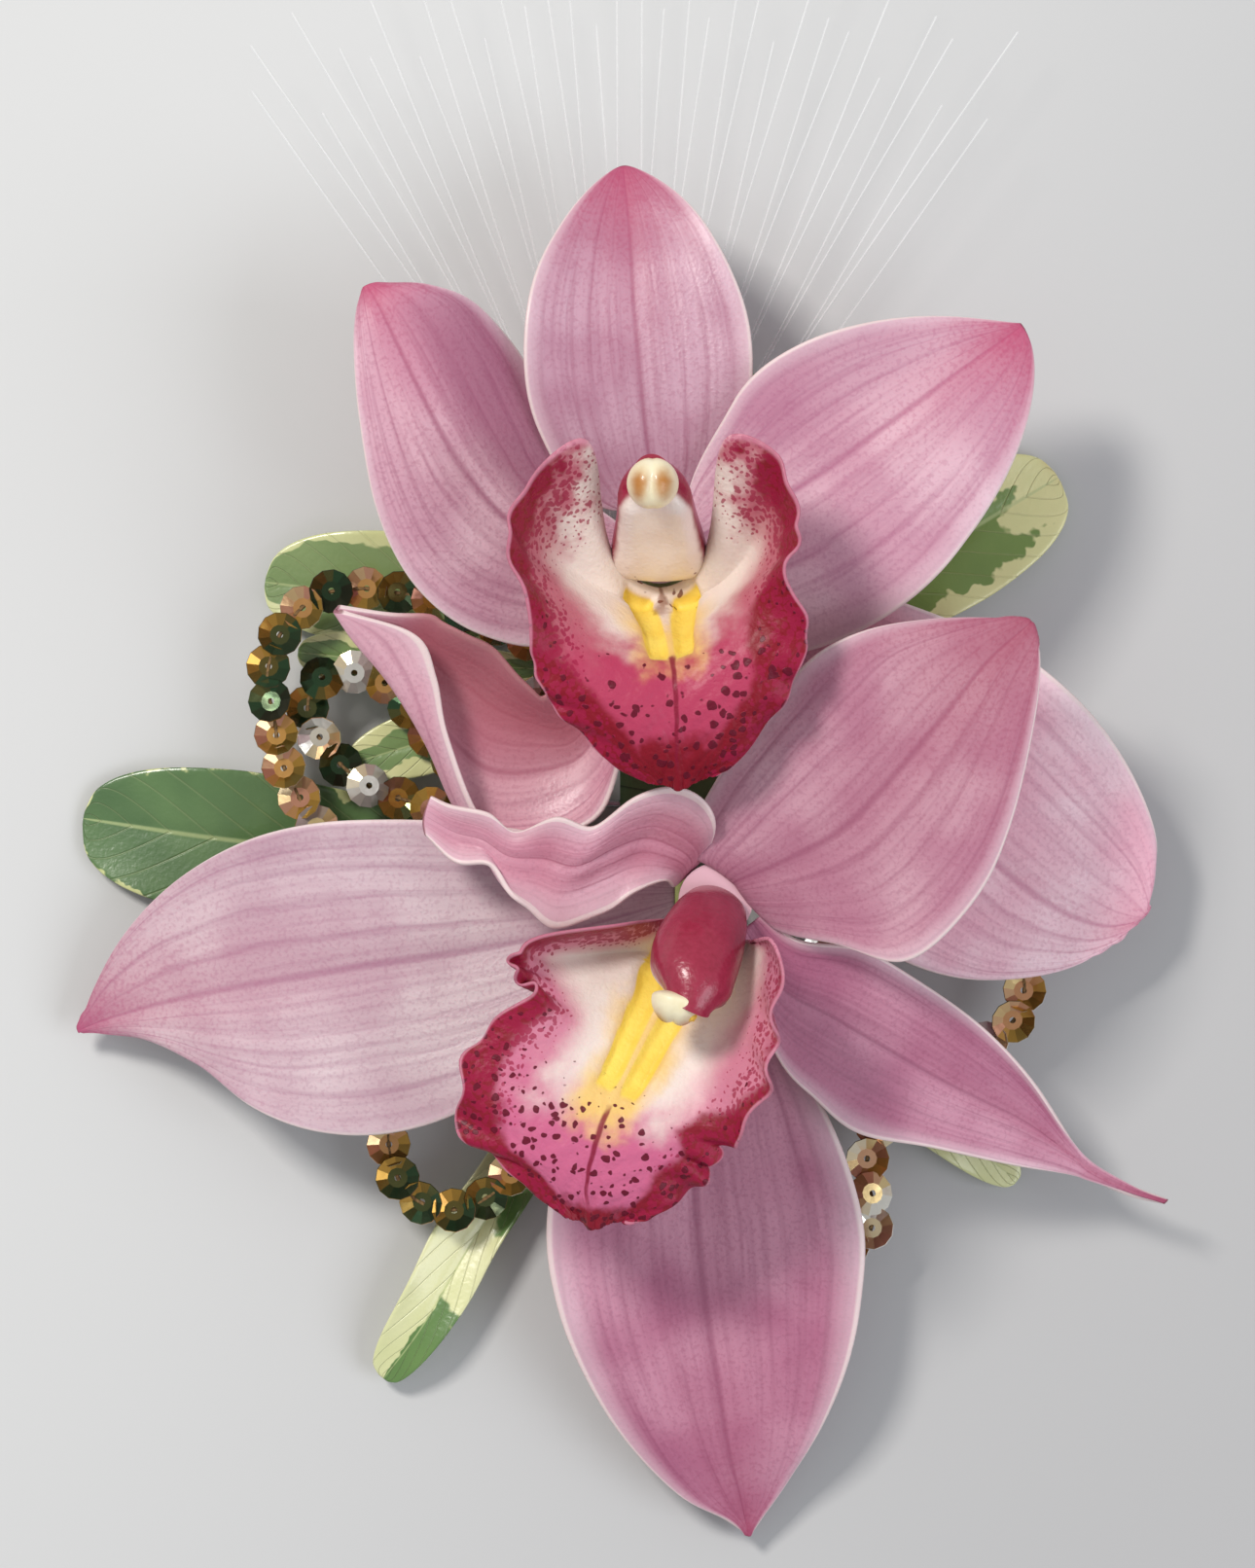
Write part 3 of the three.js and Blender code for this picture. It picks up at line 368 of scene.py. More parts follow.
def taped_stem(name, start, start_heading, lane, level, side):
    """The stem from a leaf's or loop's end, bent into its lane of the binding."""
    entry = Vector((lane, side * BINDING_LENGTH * 0.55, level))
    inner = Vector((lane, side * STEM_END_GAP / 2, level))
    away = start - heading_vector(start_heading) * STEM_REACH
    mouth_reach = min(BINDING_LENGTH * 0.35, (entry - start).length * 0.3)
    mouth = entry + Vector((0, side * mouth_reach, 0))
    path = even_path([*bend_through(start, away, mouth, entry), inner])

    def radius_at(along, angle):
        return STEM_RADIUS * (0.98 + 0.05 * math.sin(angle + along * 60))

    stem = path_tube(name + "_wound", path, radius_at, rows=48, columns=12)
    finish_piece(stem, tape_green, replaced=[name])


# Binding: one flat sleeve of green tape round all the stem ends, its back smoothed for the garment,
# with the two pin holes through its sides. The solid's own shape is right and stays.
TAPE_PITCH = 3.2


def dress_solids(node_names, material):
    """Puts the material on solids of the frame that keep their own shape."""
    for node_name in node_names:
        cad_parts[node_name].data.materials.clear()
        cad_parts[node_name].data.materials.append(material)


binding_green, binding_shader = plain_material("binding_tape", {"Roughness": 0.6})
binding_place = own_place(binding_green)
binding_x, binding_y = add_node(binding_green, "ShaderNodeSeparateXYZ", {0: binding_place}).outputs[:2]
binding_lap = math_node("FRACT", plus(times(binding_y, 1000 / TAPE_PITCH), times(binding_x, 60.0)))
binding_crepe = noise(binding_place, 700.0, 3.0)
binding_patches = noise(binding_place, 140.0)
binding_colour = blend_colours(binding_patches, "46633a", "6f8c5a")
binding_colour = blend_colours(steps_between(binding_lap, 0.88, 0.99), binding_colour, "38502e")
colour_shader(binding_shader, binding_colour, plus(binding_lap, times(binding_crepe, 0.5)), 0.00015)
dress_solids(("binding_tape", "upper_stem_tape", "lower_stem_tape"), binding_green)

wire_green, wire_shader = plain_material("stem_wire", {"Roughness": 0.35, "Metallic": 0.4})
wire_marks = noise(own_place(wire_green), 1200.0)
colour_shader(wire_shader, blend_colours(wire_marks, "3f4d33", "5b6a49"))
dress_solids(("upper_stem_wire", "lower_stem_wire"), wire_green)


# Corsage pins: two long steel pins with pearl heads, pushed through the garment and the binding
# from its right side. The head is glued on the shaft's blunt end, and the shaft's point stays free.
PIN_LENGTH = 50
PIN_RADIUS = 0.4
PIN_POINT = 4
PIN_LEVEL = 3.7
PEARL_RADIUS = 3
PEARL_FLAT = PEARL_RADIUS * 0.93
HEAD_GAP = 0.3
SHAFT_END = 34.9
SHAFT_STEPS = 60
PIN_ROWS = {"pin_1": 4, "pin_2": -4}

pin_steel, pin_shader = plain_material("pin_steel", {"Roughness": 0.22, "Metallic": 1.0})
pin_drawn = add_node(
    pin_steel, "ShaderNodeMapping", {"Vector": own_place(pin_steel), "Scale": (40.0, 4000.0, 4000.0)}
)
pin_marks = noise(pin_drawn.outputs[0], 1.0)
colour_shader(pin_shader, blend_colours(pin_marks, "b4b4ba", "dcdce0"))

pearl_white, pearl_shader = plain_material("pearl_coat", {
    "Roughness": 0.22, "Coat Weight": 0.6, "Coat Roughness": 0.08,
})
pearl_clouds = noise(own_place(pearl_white), 260.0)
# Painted sheen: the pearl turns pinkish grey towards its outline, by the angle at which the camera sees it
pearl_sheen_rim = add_node(pearl_white, "ShaderNodeLayerWeight", {"Blend": 0.4})
pearl_body = blend_colours(pearl_clouds, "ece5da", "f7f2ea")
colour_shader(pearl_shader, blend_colours(pearl_sheen_rim.outputs["Facing"], pearl_body, "e3d3d6"))

for pin_name, row in PIN_ROWS.items():
    shaft_path = [
        Vector((SHAFT_END - PIN_LENGTH * step / SHAFT_STEPS, row, PIN_LEVEL))
        for step in range(SHAFT_STEPS + 1)
    ]

    def shaft_radius(along, angle):
        to_point = PIN_LENGTH * (1 - along)
        return PIN_RADIUS * min(1, 0.12 + 0.88 * (to_point / PIN_POINT) ** 0.8)

    shaft = path_tube(pin_name + "_polished_shaft", shaft_path, shaft_radius, SHAFT_STEPS, columns=16)
    finish_piece(shaft, pin_steel, pin_name, [pin_name + "_shaft"])

    pearl_place = Vector((SHAFT_END + HEAD_GAP + PEARL_RADIUS, row, PIN_LEVEL))
    bpy.ops.object.select_all(action="DESELECT")
    bpy.ops.mesh.primitive_uv_sphere_add(segments=36, ring_count=24, radius=PEARL_RADIUS / 1000)
    pearl = bpy.context.active_object
    pearl.name = pin_name + "_glossy_pearl"
    for vertex in pearl.data.vertices:
        vertex.co.x = max(vertex.co.x, -PEARL_FLAT / 1000)
        vertex.co += pearl_place / 1000
    bpy.ops.object.shade_smooth()
    finish_piece(pearl, pearl_white, pin_name, [pin_name + "_pearl"])


# Leaves: eight variegated pittosporum leaves, glossy green with jagged cream-yellow margins and a
# pale midrib. Each is wired at its stalk, and the stem's tape starts there.
LEAF_THICKNESS = 0.64
PETIOLE_WIDTH = 1.8
LEAF_TIP_WIDTH = 1


def side_share(along, side):
    """Half width of a blade's side as a share of its greatest."""
    if along <= 0 or along >= 1:
        return 0
    rise = side["point"] * side["peak"] / (1 - side["peak"])
    return (along / side["peak"]) ** rise * ((1 - along) / (1 - side["peak"])) ** side["point"]


def blade_surface(seat, shape, claw_width, tip_width):
    """Returns surface(along, across) of a leaf, sepal or petal that starts at its seat."""
    length = shape["length"] * BLOOM_SPAN
    chord = heading_vector(shape["heading"])
    aside = UP.cross(chord)
    path = curve_through([
        seat + (chord * along + aside * bow + UP * lift) * length for along, bow, lift in shape["spine"]
    ])

    def surface(along, across):
        centre, tangent = on_path(path, along)
        flat = Vector((-tangent.y, tangent.x, 0)).normalized()
        rise = tangent.cross(flat)
        side = shape["left"] if across > 0 else shape["right"]
        width = side["width"] * BLOOM_SPAN * side_share(along, side)
        half = claw_width / 2 * max(1 - along * 4, 0) ** 2 + width + tip_width / 2
        lift = side["lift"] * width * abs(across) ** 1.8
        return centre + flat * (half * across) + rise * lift
    return surface


def close_at_ends(share):
    """Crowds the rows towards a blade's two ends."""
    return (share + (1 - math.cos(share * math.pi)) / 2) / 2


def hump(off, width):
    """1 in the middle, fading to 0 beyond the width on both sides."""
    return math.exp(-(off / width) ** 2)


def thin_sheet(name, surface, thickness, rows, columns, relief, marks=None):
    """A blade or lip: the surface raised by its relief, then given its thickness and round edges.

    Each of the marks is a function of along and across whose value its vertices keep for the paint.
    """
    step = 0.004

    def raised(along, across):
        along = close_at_ends(along)
        point = surface(along, across)
        lengthwise = surface(min(along + step, 1), across) - surface(max(along - step, 0), across)
        crosswise = surface(along, min(across + step, 1)) - surface(along, max(across - step, -1))
        return point + lengthwise.cross(crosswise).normalized() * relief(along, across)

    piece = shaped_grid(name, raised, rows, columns)
    thinning = piece.vertex_groups.new(name="thickness")
    for vertex in piece.data.vertices:
        across = abs((vertex.index // (rows + 1)) / columns * 2 - 1)
        thinning.add([vertex.index], 1 - 0.45 * across ** 3, "REPLACE")
    for mark_name, mark in (marks or {}).items():
        attribute = piece.data.attributes.new(mark_name, "FLOAT", "POINT")
        for index in range(len(piece.data.vertices)):
            along, across = index % (rows + 1) / rows, index // (rows + 1) / columns * 2 - 1
            attribute.data[index].value = mark(close_at_ends(along), across)
    walls = piece.modifiers.new("walls", "SOLIDIFY")
    walls.thickness = thickness / 1000
    walls.offset = 0
    walls.vertex_group = "thickness"
    rounding = piece.modifiers.new("rounding", "SUBSURF")
    rounding.levels = 1
    rounding.render_levels = 1
    bpy.ops.object.modifier_apply(modifier="walls")
    bpy.ops.object.modifier_apply(modifier="rounding")
    bpy.ops.object.shade_smooth()
    return piece


def leaf_paint(name, green, dark_green, cream, margin, jag_scale, cream_tip=2.0, brown_tip=2.0, band=None):
    """Variegated leaf: green inside, cream beyond the margin's share of the width, jagged between."""
    material, shader = plain_material(name, {"Roughness": 0.3, "Coat Weight": 0.35, "Coat Roughness": 0.15})
    along, width_share = map_shares(material)[:2]
    place = own_place(material)
    across = from_midline(width_share)
    jags = noise(place, jag_scale, 3.0)
    patches = noise(place, 120.0)
    grain = noise(place, 1800.0)
    slanted = plus(along, times(across, -0.22))
    side_veins = math_node("ABSOLUTE", math_node("SINE", times(slanted, 34.0)))
    vein_line = steps_between(side_veins, 0.0, 0.22)
    leaf_colour = blend_colours(patches, dark_green, green)
    leaf_colour = tinted(leaf_colour, rest_of(vein_line), 0.1, cream)
    jag = less(jags, 0.5)
    edge_place = across
    if band:
        edge_place = rest_of(times(width_share, 2.0))
    edge = plus(edge_place, times(jag, 1.1))
    margin_share = steps_between(edge, margin, margin + 0.05)
    if band:
        ragged_along = plus(along, times(jag, 0.35))
        middle = times(
            steps_between(ragged_along, band[0], band[0] + 0.03),
            fading_between(ragged_along, band[1], band[1] + 0.03),
        )
        margin_share = larger(margin_share, middle)
    tip_share = steps_between(plus(along, swing(jags, 0.5)), cream_tip, cream_tip + 0.03)
    cream_share = larger(margin_share, tip_share)
    cream_colour = blend_colours(patches, cream, "c9d08c")
    colour = blend_colours(cream_share, leaf_colour, cream_colour)
    midrib = fading_between(across, 0.01, 0.05)
    colour = tinted(colour, midrib, 0.6, "b9c68c")
    browned = steps_between(plus(along, swing(patches, 0.3)), brown_tip, brown_tip + 0.12)
    colour = tinted(colour, browned, 0.8, "b9823c")
    height = plus(times(vein_line, 0.6), times(grain, 0.35))
    colour_shader(shader, colour, height, 0.00012)
    return material


broad_margin = leaf_paint(
    "leaf_broad_margin", "87a262", "5e7d46", "ebe8b4", margin=0.58, jag_scale=240.0
)
thin_margin = leaf_paint(
    "leaf_thin_margin", "6c8c56", "3f5f3a", "d5d8a0", margin=0.97, jag_scale=300.0
)
cream_end = leaf_paint(
    "leaf_cream_end", "87a052", "64813f", "f0e8ae", margin=0.72, jag_scale=240.0,
    cream_tip=0.76, brown_tip=0.9,
)
olive_margin = leaf_paint(
    "leaf_olive_margin", "8fa46c", "6d8a52", "dfe2b0", margin=0.78, jag_scale=170.0
)
split_cream = leaf_paint(
    "leaf_split_cream", "6f9150", "476b38", "eceac0", margin=0.12, jag_scale=200.0, band=(0.5, 0.72)
)
half_cream = leaf_paint(
    "leaf_half_cream", "6f8f55", "4a6a3c", "dcdcae", margin=0.66, jag_scale=190.0, cream_tip=0.72
)

# Each leaf's seat is measured from the binding's end that its stem enters
LEAVES = {
    "right_leaf": {
        "seat": (0.0917, 0.05, 0.0217), "heading": 31, "length": 0.3167, "lane": LANE_FAR, "end": 1,
        "spine": [(0, 0, 0), (0.25, -0.01, 0.02), (0.6, 0, 0.03), (1, 0, -0.03)],
        "left": {"width": 0.0567, "peak": 0.6, "point": 0.45, "lift": 0.1},
        "right": {"width": 0.06, "peak": 0.62, "point": 0.4, "lift": 0.1},
        "paint": cream_end,
    },
    "top_leaf": {
        "seat": (0.0217, 0.0625, 0.02), "heading": 79, "length": 0.2542, "lane": LANE_NEAR, "end": 1,
        "spine": [(0, 0, 0), (0.3, 0.01, 0), (0.6, 0, 0.02), (1, 0, 0.03)],
        "left": {"width": 0.0333, "peak": 0.6, "point": 0.5, "lift": 0.1},
        "right": {"width": 0.0333, "peak": 0.6, "point": 0.5, "lift": 0.1},
        "paint": broad_margin,
    },
    "upper_left_leaf": {
        "seat": (-0.0917, 0.08, 0.02), "heading": 174, "length": 0.3083, "lane": 0, "end": 1,
        "spine": [(0, 0, 0), (0.3, 0, 0), (0.65, 0.01, 0.03), (1, 0, 0)],
        "left": {"width": 0.0433, "peak": 0.65, "point": 0.4, "lift": 0.1},
        "right": {"width": 0.06, "peak": 0.6, "point": 0.45, "lift": 0.1},
        "paint": olive_margin,
    },
    "inner_left_leaf": {
        "seat": (-0.1333, 0.0283, 0.0408), "heading": 176, "length": 0.2333, "lane": -LANE_NEAR, "end": 1,
        "spine": [(0, 0, 0), (0.3, 0, 0), (0.65, 0.01, 0), (1, 0, 0)],
        "left": {"width": 0.0233, "peak": 0.65, "point": 0.5, "lift": 0.1},
        "right": {"width": 0.0233, "peak": 0.65, "point": 0.5, "lift": 0.1},
        "paint": broad_margin,
    },
    "left_leaf": {
        "seat": (-0.1667, -0.0166, 0.0133), "heading": 175, "length": 0.4083, "lane": -LANE_FAR, "end": -1,
        "spine": [(0, 0, 0), (0.3, 0.02, 0), (0.65, 0.02, 0.02), (1, 0, -0.01)],
        "left": {"width": 0.0667, "peak": 0.68, "point": 0.42, "lift": 0.12},
        "right": {"width": 0.0633, "peak": 0.64, "point": 0.45, "lift": 0.1},
        "paint": thin_margin,
    },
    "centre_left_leaf": {
        "seat": (-0.1017, 0.0033, 0.0175), "heading": 197, "length": 0.225, "lane": -LANE_FAR, "end": 1,
        "spine": [(0, 0, 0), (0.3, 0, 0.07), (0.65, 0, 0.11), (1, 0, 0.1)],
        "left": {"width": 0.0283, "peak": 0.6, "point": 0.5, "lift": 0.1},
        "right": {"width": 0.0283, "peak": 0.6, "point": 0.5, "lift": 0.1},
        "paint": broad_margin,
    },
    "bottom_left_leaf": {
        "seat": (-0.0667, -0.1833, 0.0217), "heading": 237, "length": 0.4, "lane": -LANE_NEAR, "end": -1,
        "spine": [(0, 0, 0), (0.3, 0, 0.01), (0.6, 0, 0.03), (0.85, 0.01, 0.03), (1, 0, -0.01)],
        "left": {"width": 0.0215, "peak": 0.66, "point": 0.4, "lift": 0.4},
        "right": {"width": 0.0333, "peak": 0.6, "point": 0.4, "lift": 0.4},
        "paint": split_cream,
    },
    "bottom_right_leaf": {
        "seat": (0.0917, -0.1666, 0.0217), "heading": -35, "length": 0.2833, "lane": LANE_FAR, "end": -1,
        "spine": [(0, 0, 0), (0.3, 0, 0.01), (0.6, 0.02, 0.03), (1, 0, -0.03)],
        "left": {"width": 0.025, "peak": 0.6, "point": 0.5, "lift": 0.1},
        "right": {"width": 0.025, "peak": 0.6, "point": 0.5, "lift": 0.1},
        "paint": half_cream,
    },
}
for leaf_name, leaf in LEAVES.items():
    seat = in_span(leaf["seat"]) + binding_end(leaf["end"])

    def leaf_relief(along, across):
        groove = -0.25 * hump(across, 0.08)
        wave = 0.35 * abs(across) ** 3 * math.sin(along * 21 + across * 2)
        return (groove + wave) * math.sin(math.pi * along)

    blade = thin_sheet(
        leaf_name + "_blade", blade_surface(seat, leaf, PETIOLE_WIDTH, LEAF_TIP_WIDTH),
        LEAF_THICKNESS, rows=44, columns=16, relief=leaf_relief,
    )
    finish_piece(blade, leaf["paint"], replaced=[leaf_name])
    first_bow = math.degrees(math.atan2(leaf["spine"][1][1], leaf["spine"][1][0]))
    stalk_heading = leaf["heading"] + first_bow
    stalk_end = seat - heading_vector(stalk_heading) * HEAD_GAP
    taped_stem(leaf_name + "_stem", stalk_end, stalk_heading, leaf["lane"], BACK_ROW_LEVEL, leaf["end"])


# Sequin loops: mirror-bright gold and copper cup sequins strung close on a thread, the two ends of
# which meet at a taped wire stem. The cups turn freely, so each one leans its own way.
SEQUIN_DIAMETER = 5
SEQUIN_CUP = 0.75
CUP_WALL = 1.3
CUP_FLAT = 0.75
SEQUIN_FILM = 0.12
SEQUIN_PITCH = 3.9
THREAD_RADIUS = 0.25
THREAD_TURNS = 120.0
THREAD_DROP = 0.5
LOOP_END_GAP = 1.6
LOOP_THREAD_RADIUS = 0.45
CUP_LEAN = 13
TURNED_SHARE = 0.3
SEQUIN_SEED = 7

# Routes and levels are shares of the bloom span, from the binding's end that the stem enters
# A loop's shine is the part of the sequin ramp its cups take, from dark green-black towards the painted
# near-white highlight
LOOPS = {
    "outer_left_loop": {
        "route": [
            (-0.1167, 0.0416), (-0.1833, 0.075), (-0.2417, 0.0958), (-0.275, 0.1016), (-0.3075, 0.105),
            (-0.3442, 0.0983), (-0.3692, 0.0783), (-0.3867, 0.0508), (-0.3942, 0.0158), (-0.3867, -0.0209),
            (-0.3817, -0.0559), (-0.3683, -0.0834), (-0.3558, -0.1084), (-0.33, -0.1359), (-0.2833, -0.1542),
            (-0.2167, -0.1167), (-0.1583, -0.0334),
        ],
        "levels": [0.08, 0.08, 0.0783, 0.0767, *[0.075] * 11, 0.0783, 0.08],
        "shine": (0.05, 0.95), "gap": -90, "tie": 150, "lane": -LANE_FAR, "end": 1,
    },
    "inner_left_loop": {
        "route": [
            (-0.1167, -0.0067), (-0.175, 0.0425), (-0.2292, 0.085), (-0.2525, 0.1167), (-0.275, 0.145),
            (-0.2983, 0.1567), (-0.33, 0.1584), (-0.3517, 0.1434), (-0.355, 0.1142), (-0.3367, 0.085),
            (-0.3167, 0.0634), (-0.2917, 0.0467), (-0.2633, 0.0367), (-0.2367, 0.0284), (-0.1833, 0.0067),
        ],
        "levels": [0.055] * 15,
        "shine": (0.05, 0.98), "gap": -90, "tie": 170, "lane": -LANE_FAR, "end": -1,
    },
    "bottom_left_loop": {
        "route": [
            (-0.075, -0.15), (-0.15, -0.175), (-0.225, -0.2125), (-0.2667, -0.25), (-0.2783, -0.2775),
            (-0.275, -0.3091), (-0.2617, -0.3366), (-0.235, -0.3533), (-0.2017, -0.3516),
            (-0.1725, -0.3333), (-0.1542, -0.305), (-0.1217, -0.2416),
        ],
        "levels": [0.0617] * 12,
        "shine": (0.0, 0.6), "gap": 0, "tie": 250, "lane": -LANE_NEAR, "end": -1,
    },
    "right_loop": {
        "route": [
            (0.1083, -0.1166), (0.2, -0.0791), (0.2833, -0.0833), (0.325, -0.125), (0.3267, -0.1583),
            (0.3117, -0.1816), (0.2833, -0.2), (0.2292, -0.2366), (0.1883, -0.275), (0.1775, -0.3216),
            (0.185, -0.355), (0.1733, -0.3866), (0.1375, -0.3833), (0.1133, -0.3333), (0.105, -0.25),
        ],
        "levels": [0.0617] * 15,
        "shine": (0.42, 0.95), "gap": 180, "tie": 260, "lane": LANE_FAR, "end": -1,
    },
}

sequin_gold, sequin_shader = plain_material("sequin_film", {"Roughness": 0.18, "Metallic": 0.72})
# The tint attribute carries each facet's place on the ramp: the cup's own colour together with its painted
# reflection and shade
sequin_tone_and_glint = add_node(sequin_gold, "ShaderNodeAttribute", attribute_name="tint").outputs["Fac"]
sequin_ramp = add_node(sequin_gold, "ShaderNodeValToRGB", {"Fac": sequin_tone_and_glint})
# From dark green-black through olive, gold and copper to near white: partly the sequins' own colours, partly
# painted reflection, the near-white end a painted highlight
SEQUIN_COLOURS = (
    (0.0, "111d12"), (0.22, "2a5236"), (0.34, "7a6228"), (0.48, "cf9d45"), (0.62, "dc9c84"), (0.76, "f3d79a"),
    (0.9, "fbf8ee"),
)
stops = sequin_ramp.color_ramp.elements
for place, colour in SEQUIN_COLOURS:
    stop = stops[0] if place == 0 else stops.new(place)
    stop.color = linear(colour)
stops.remove(stops[-1])
sequin_smears = noise(own_place(sequin_gold), 420.0)
sequin_colour = tinted(sequin_ramp.outputs["Color"], sequin_smears, 0.3, "5a4a2c")
colour_shader(sequin_shader, sequin_colour, sequin_smears, 0.00005)

thread_brown, thread_shader = plain_material("sequin_thread", {"Roughness": 0.7})
thread_along, thread_round = map_shares(thread_brown)[:2]
thread_twist = math_node("FRACT", plus(times(thread_along, THREAD_TURNS), thread_round))
colour_shader(thread_shader, blend_colours(thread_twist, "5c4426", "8a6a3c"), thread_twist, 0.00005)

# One cup: a faceted wall, a small flat and the thread's hole
bpy.ops.object.select_all(action="DESELECT")
bpy.ops.mesh.primitive_circle_add(vertices=12, radius=SEQUIN_DIAMETER / 2000, fill_type="NGON")
cup = bpy.context.active_object
bpy.ops.object.mode_set(mode="EDIT")
for inset, drop in ((CUP_WALL, -SEQUIN_CUP), (CUP_FLAT, 0)):
    bpy.ops.mesh.inset(thickness=inset / 1000, depth=drop / 1000)
bpy.ops.mesh.delete(type="FACE")
bpy.ops.object.mode_set(mode="OBJECT")
film = cup.modifiers.new("film", "SOLIDIFY")
film.thickness = SEQUIN_FILM / 1000
bpy.ops.object.modifier_apply(modifier="film")


def copied(model):
    """Another object like the model, with a mesh of its own."""
    copy = model.copy()
    copy.data = model.data.copy()
    bpy.context.scene.collection.objects.link(copy)
    return copy


def joined(copies, name):
    """One piece of all the copies, their places and turns put into its mesh."""
    bpy.ops.object.select_all(action="DESELECT")
    for copy in copies:
        copy.select_set(True)
    bpy.context.view_layer.objects.active = copies[0]
    bpy.ops.object.join()
    piece = bpy.context.active_object
    piece.name = name
    bpy.ops.object.transform_apply(location=True, rotation=True, scale=True)
    return piece


sequin_chance = random.Random(SEQUIN_SEED)
for loop_name, loop in LOOPS.items():
    start = binding_end(loop["end"])
    route = [in_span((*place, level)) + start for place, level in zip(loop["route"], loop["levels"])]
    route.append(route[0] + heading_vector(loop["gap"]) * LOOP_END_GAP)
    path = curve_through(route)
    length = sum((b - a).length for a, b in zip(path, path[1:]))
    count = round(length / SEQUIN_PITCH)
    copies = []
    for place in range(1, count):
        centre, tangent = on_path(path, place / count)
        copy = copied(cup)
        lean = math.radians(sequin_chance.uniform(-CUP_LEAN, CUP_LEAN))
        tilt = math.radians(sequin_chance.uniform(-CUP_LEAN, CUP_LEAN))
        turned = math.pi if sequin_chance.random() < TURNED_SHARE else 0
        copy.rotation_euler = (lean + turned, tilt, sequin_chance.uniform(0, math.tau))
        # Every second cup sits a little higher, as they overlap
        copy.location = (centre + UP * (0.45 + 0.3 * (place % 2))) / 1000
        tint = copy.data.attributes.new("tint", "FLOAT", "FACE")
        value = sequin_chance.uniform(*loop["shine"])
        # Painted reflection and shade: each cup's own place on the ramp is lifted on facets turned to the
        # lower right and lowered on facets turned to the upper left
        for face in copy.data.polygons:
            facing = copy.rotation_euler.to_matrix() @ face.normal
            tint.data[face.index].value = min(max(value + 0.28 * (facing.x - facing.y), 0), 1)
        copies.append(copy)
    finish_piece(joined(copies, loop_name + "_sequins"), sequin_gold, replaced=[loop_name])
    low_path = [place - UP * THREAD_DROP for place in path]
    thread = path_tube(
        loop_name + "_thread", low_path, lambda along, angle: THREAD_RADIUS, rows=160, columns=6
    )
    finish_piece(thread, thread_brown)
    tie = (path[0] + path[-1]) / 2 - heading_vector(loop["tie"]) * (LOOP_THREAD_RADIUS + HEAD_GAP)
    taped_stem(loop_name + "_stem", tie, loop["tie"], loop["lane"], FRONT_ROW_LEVEL, loop["end"])
bpy.data.objects.remove(cup)


# Clear filaments: a spray of straight thin clear strands, fanned out above the blooms from a taped
# ferrule that stands in the binding's front row.
STRAND_RADIUS = 0.12
STRAND_LENGTH = 80
STRAND_BOW = 0.5
STRAND_COUNT = 34
STRAND_SPREAD = 72
FAN_START = 1.5
FERRULE_REACH = 10
FERRULE_LEAN = -3.2

ferrule_top = Vector((FERRULE_LEAN - LANE_NEAR, BINDING_LENGTH / 2 + FERRULE_REACH, FRONT_ROW_LEVEL))
ferrule_path = curve_through([
    Vector((-LANE_NEAR, STEM_END_GAP / 2, FRONT_ROW_LEVEL)),
    Vector((-LANE_NEAR, BINDING_LENGTH / 2, FRONT_ROW_LEVEL)),
    ferrule_top,
])
ferrule = path_tube(
    "spray_ferrule", ferrule_path, lambda along, angle: STEM_RADIUS, rows=40, columns=14
)
finish_piece(ferrule, tape_green)

clear_film, clear_shader = plain_material("clear_filament", {"Roughness": 0.4, "Alpha": 0.2})
clear_bands = noise(own_place(clear_film), 300.0)
colour_shader(clear_shader, blend_colours(clear_bands, "e9ecec", "ffffff"))
# One strand along x, a little bowed, whose copies are turned, raised and up to 16 % shorter
strand_line = curve_through([
    Vector((FAN_START, 0, 0)), Vector((STRAND_LENGTH / 2, STRAND_BOW, 0)), Vector((STRAND_LENGTH, 0, 0))
])
model_strand = path_tube(
    "strand", strand_line, lambda along, angle: STRAND_RADIUS, rows=10, columns=5
)
strands = []
for place in range(STRAND_COUNT):
    heading = 90 + STRAND_SPREAD * (0.5 - place / (STRAND_COUNT - 1))
    rise = math.atan(0.05 + 0.03 * math.cos(place * 1.7))
    strand = copied(model_strand)
    strand.location = ferrule_top / 1000
    strand.rotation_euler = (math.pi * (place % 2), -rise, math.radians(heading))
    strand.scale = (0.92 + 0.08 * math.sin(place * 2.4), 1, 1)
    strands.append(strand)
bpy.data.objects.remove(model_strand)
finish_piece(joined(strands, "clear_filaments"), clear_film, replaced=["clear_spray"])


# Sepals and petals: waxy mauve-pink tepals with fine darker veins, a fine speckle, a deep rose tip
# and a thin cream rim. Each is cupped, grooved along its midvein and seated on its ovary's head.
HEAD_RADIUS = 4.2
HEAD_HEIGHT = 5
SEPAL_DROP = 3.2
PETAL_DROP = 1.2
CLAW_WIDTH = 5
TEPAL_TIP_WIDTH = 0.6
TEPAL_THICKNESS = 0.9
HEADS = {"upper": in_span((-0.02, 0.2092, 0.1833)), "lower": in_span((0.0325, -0.1242, 0.1833))}


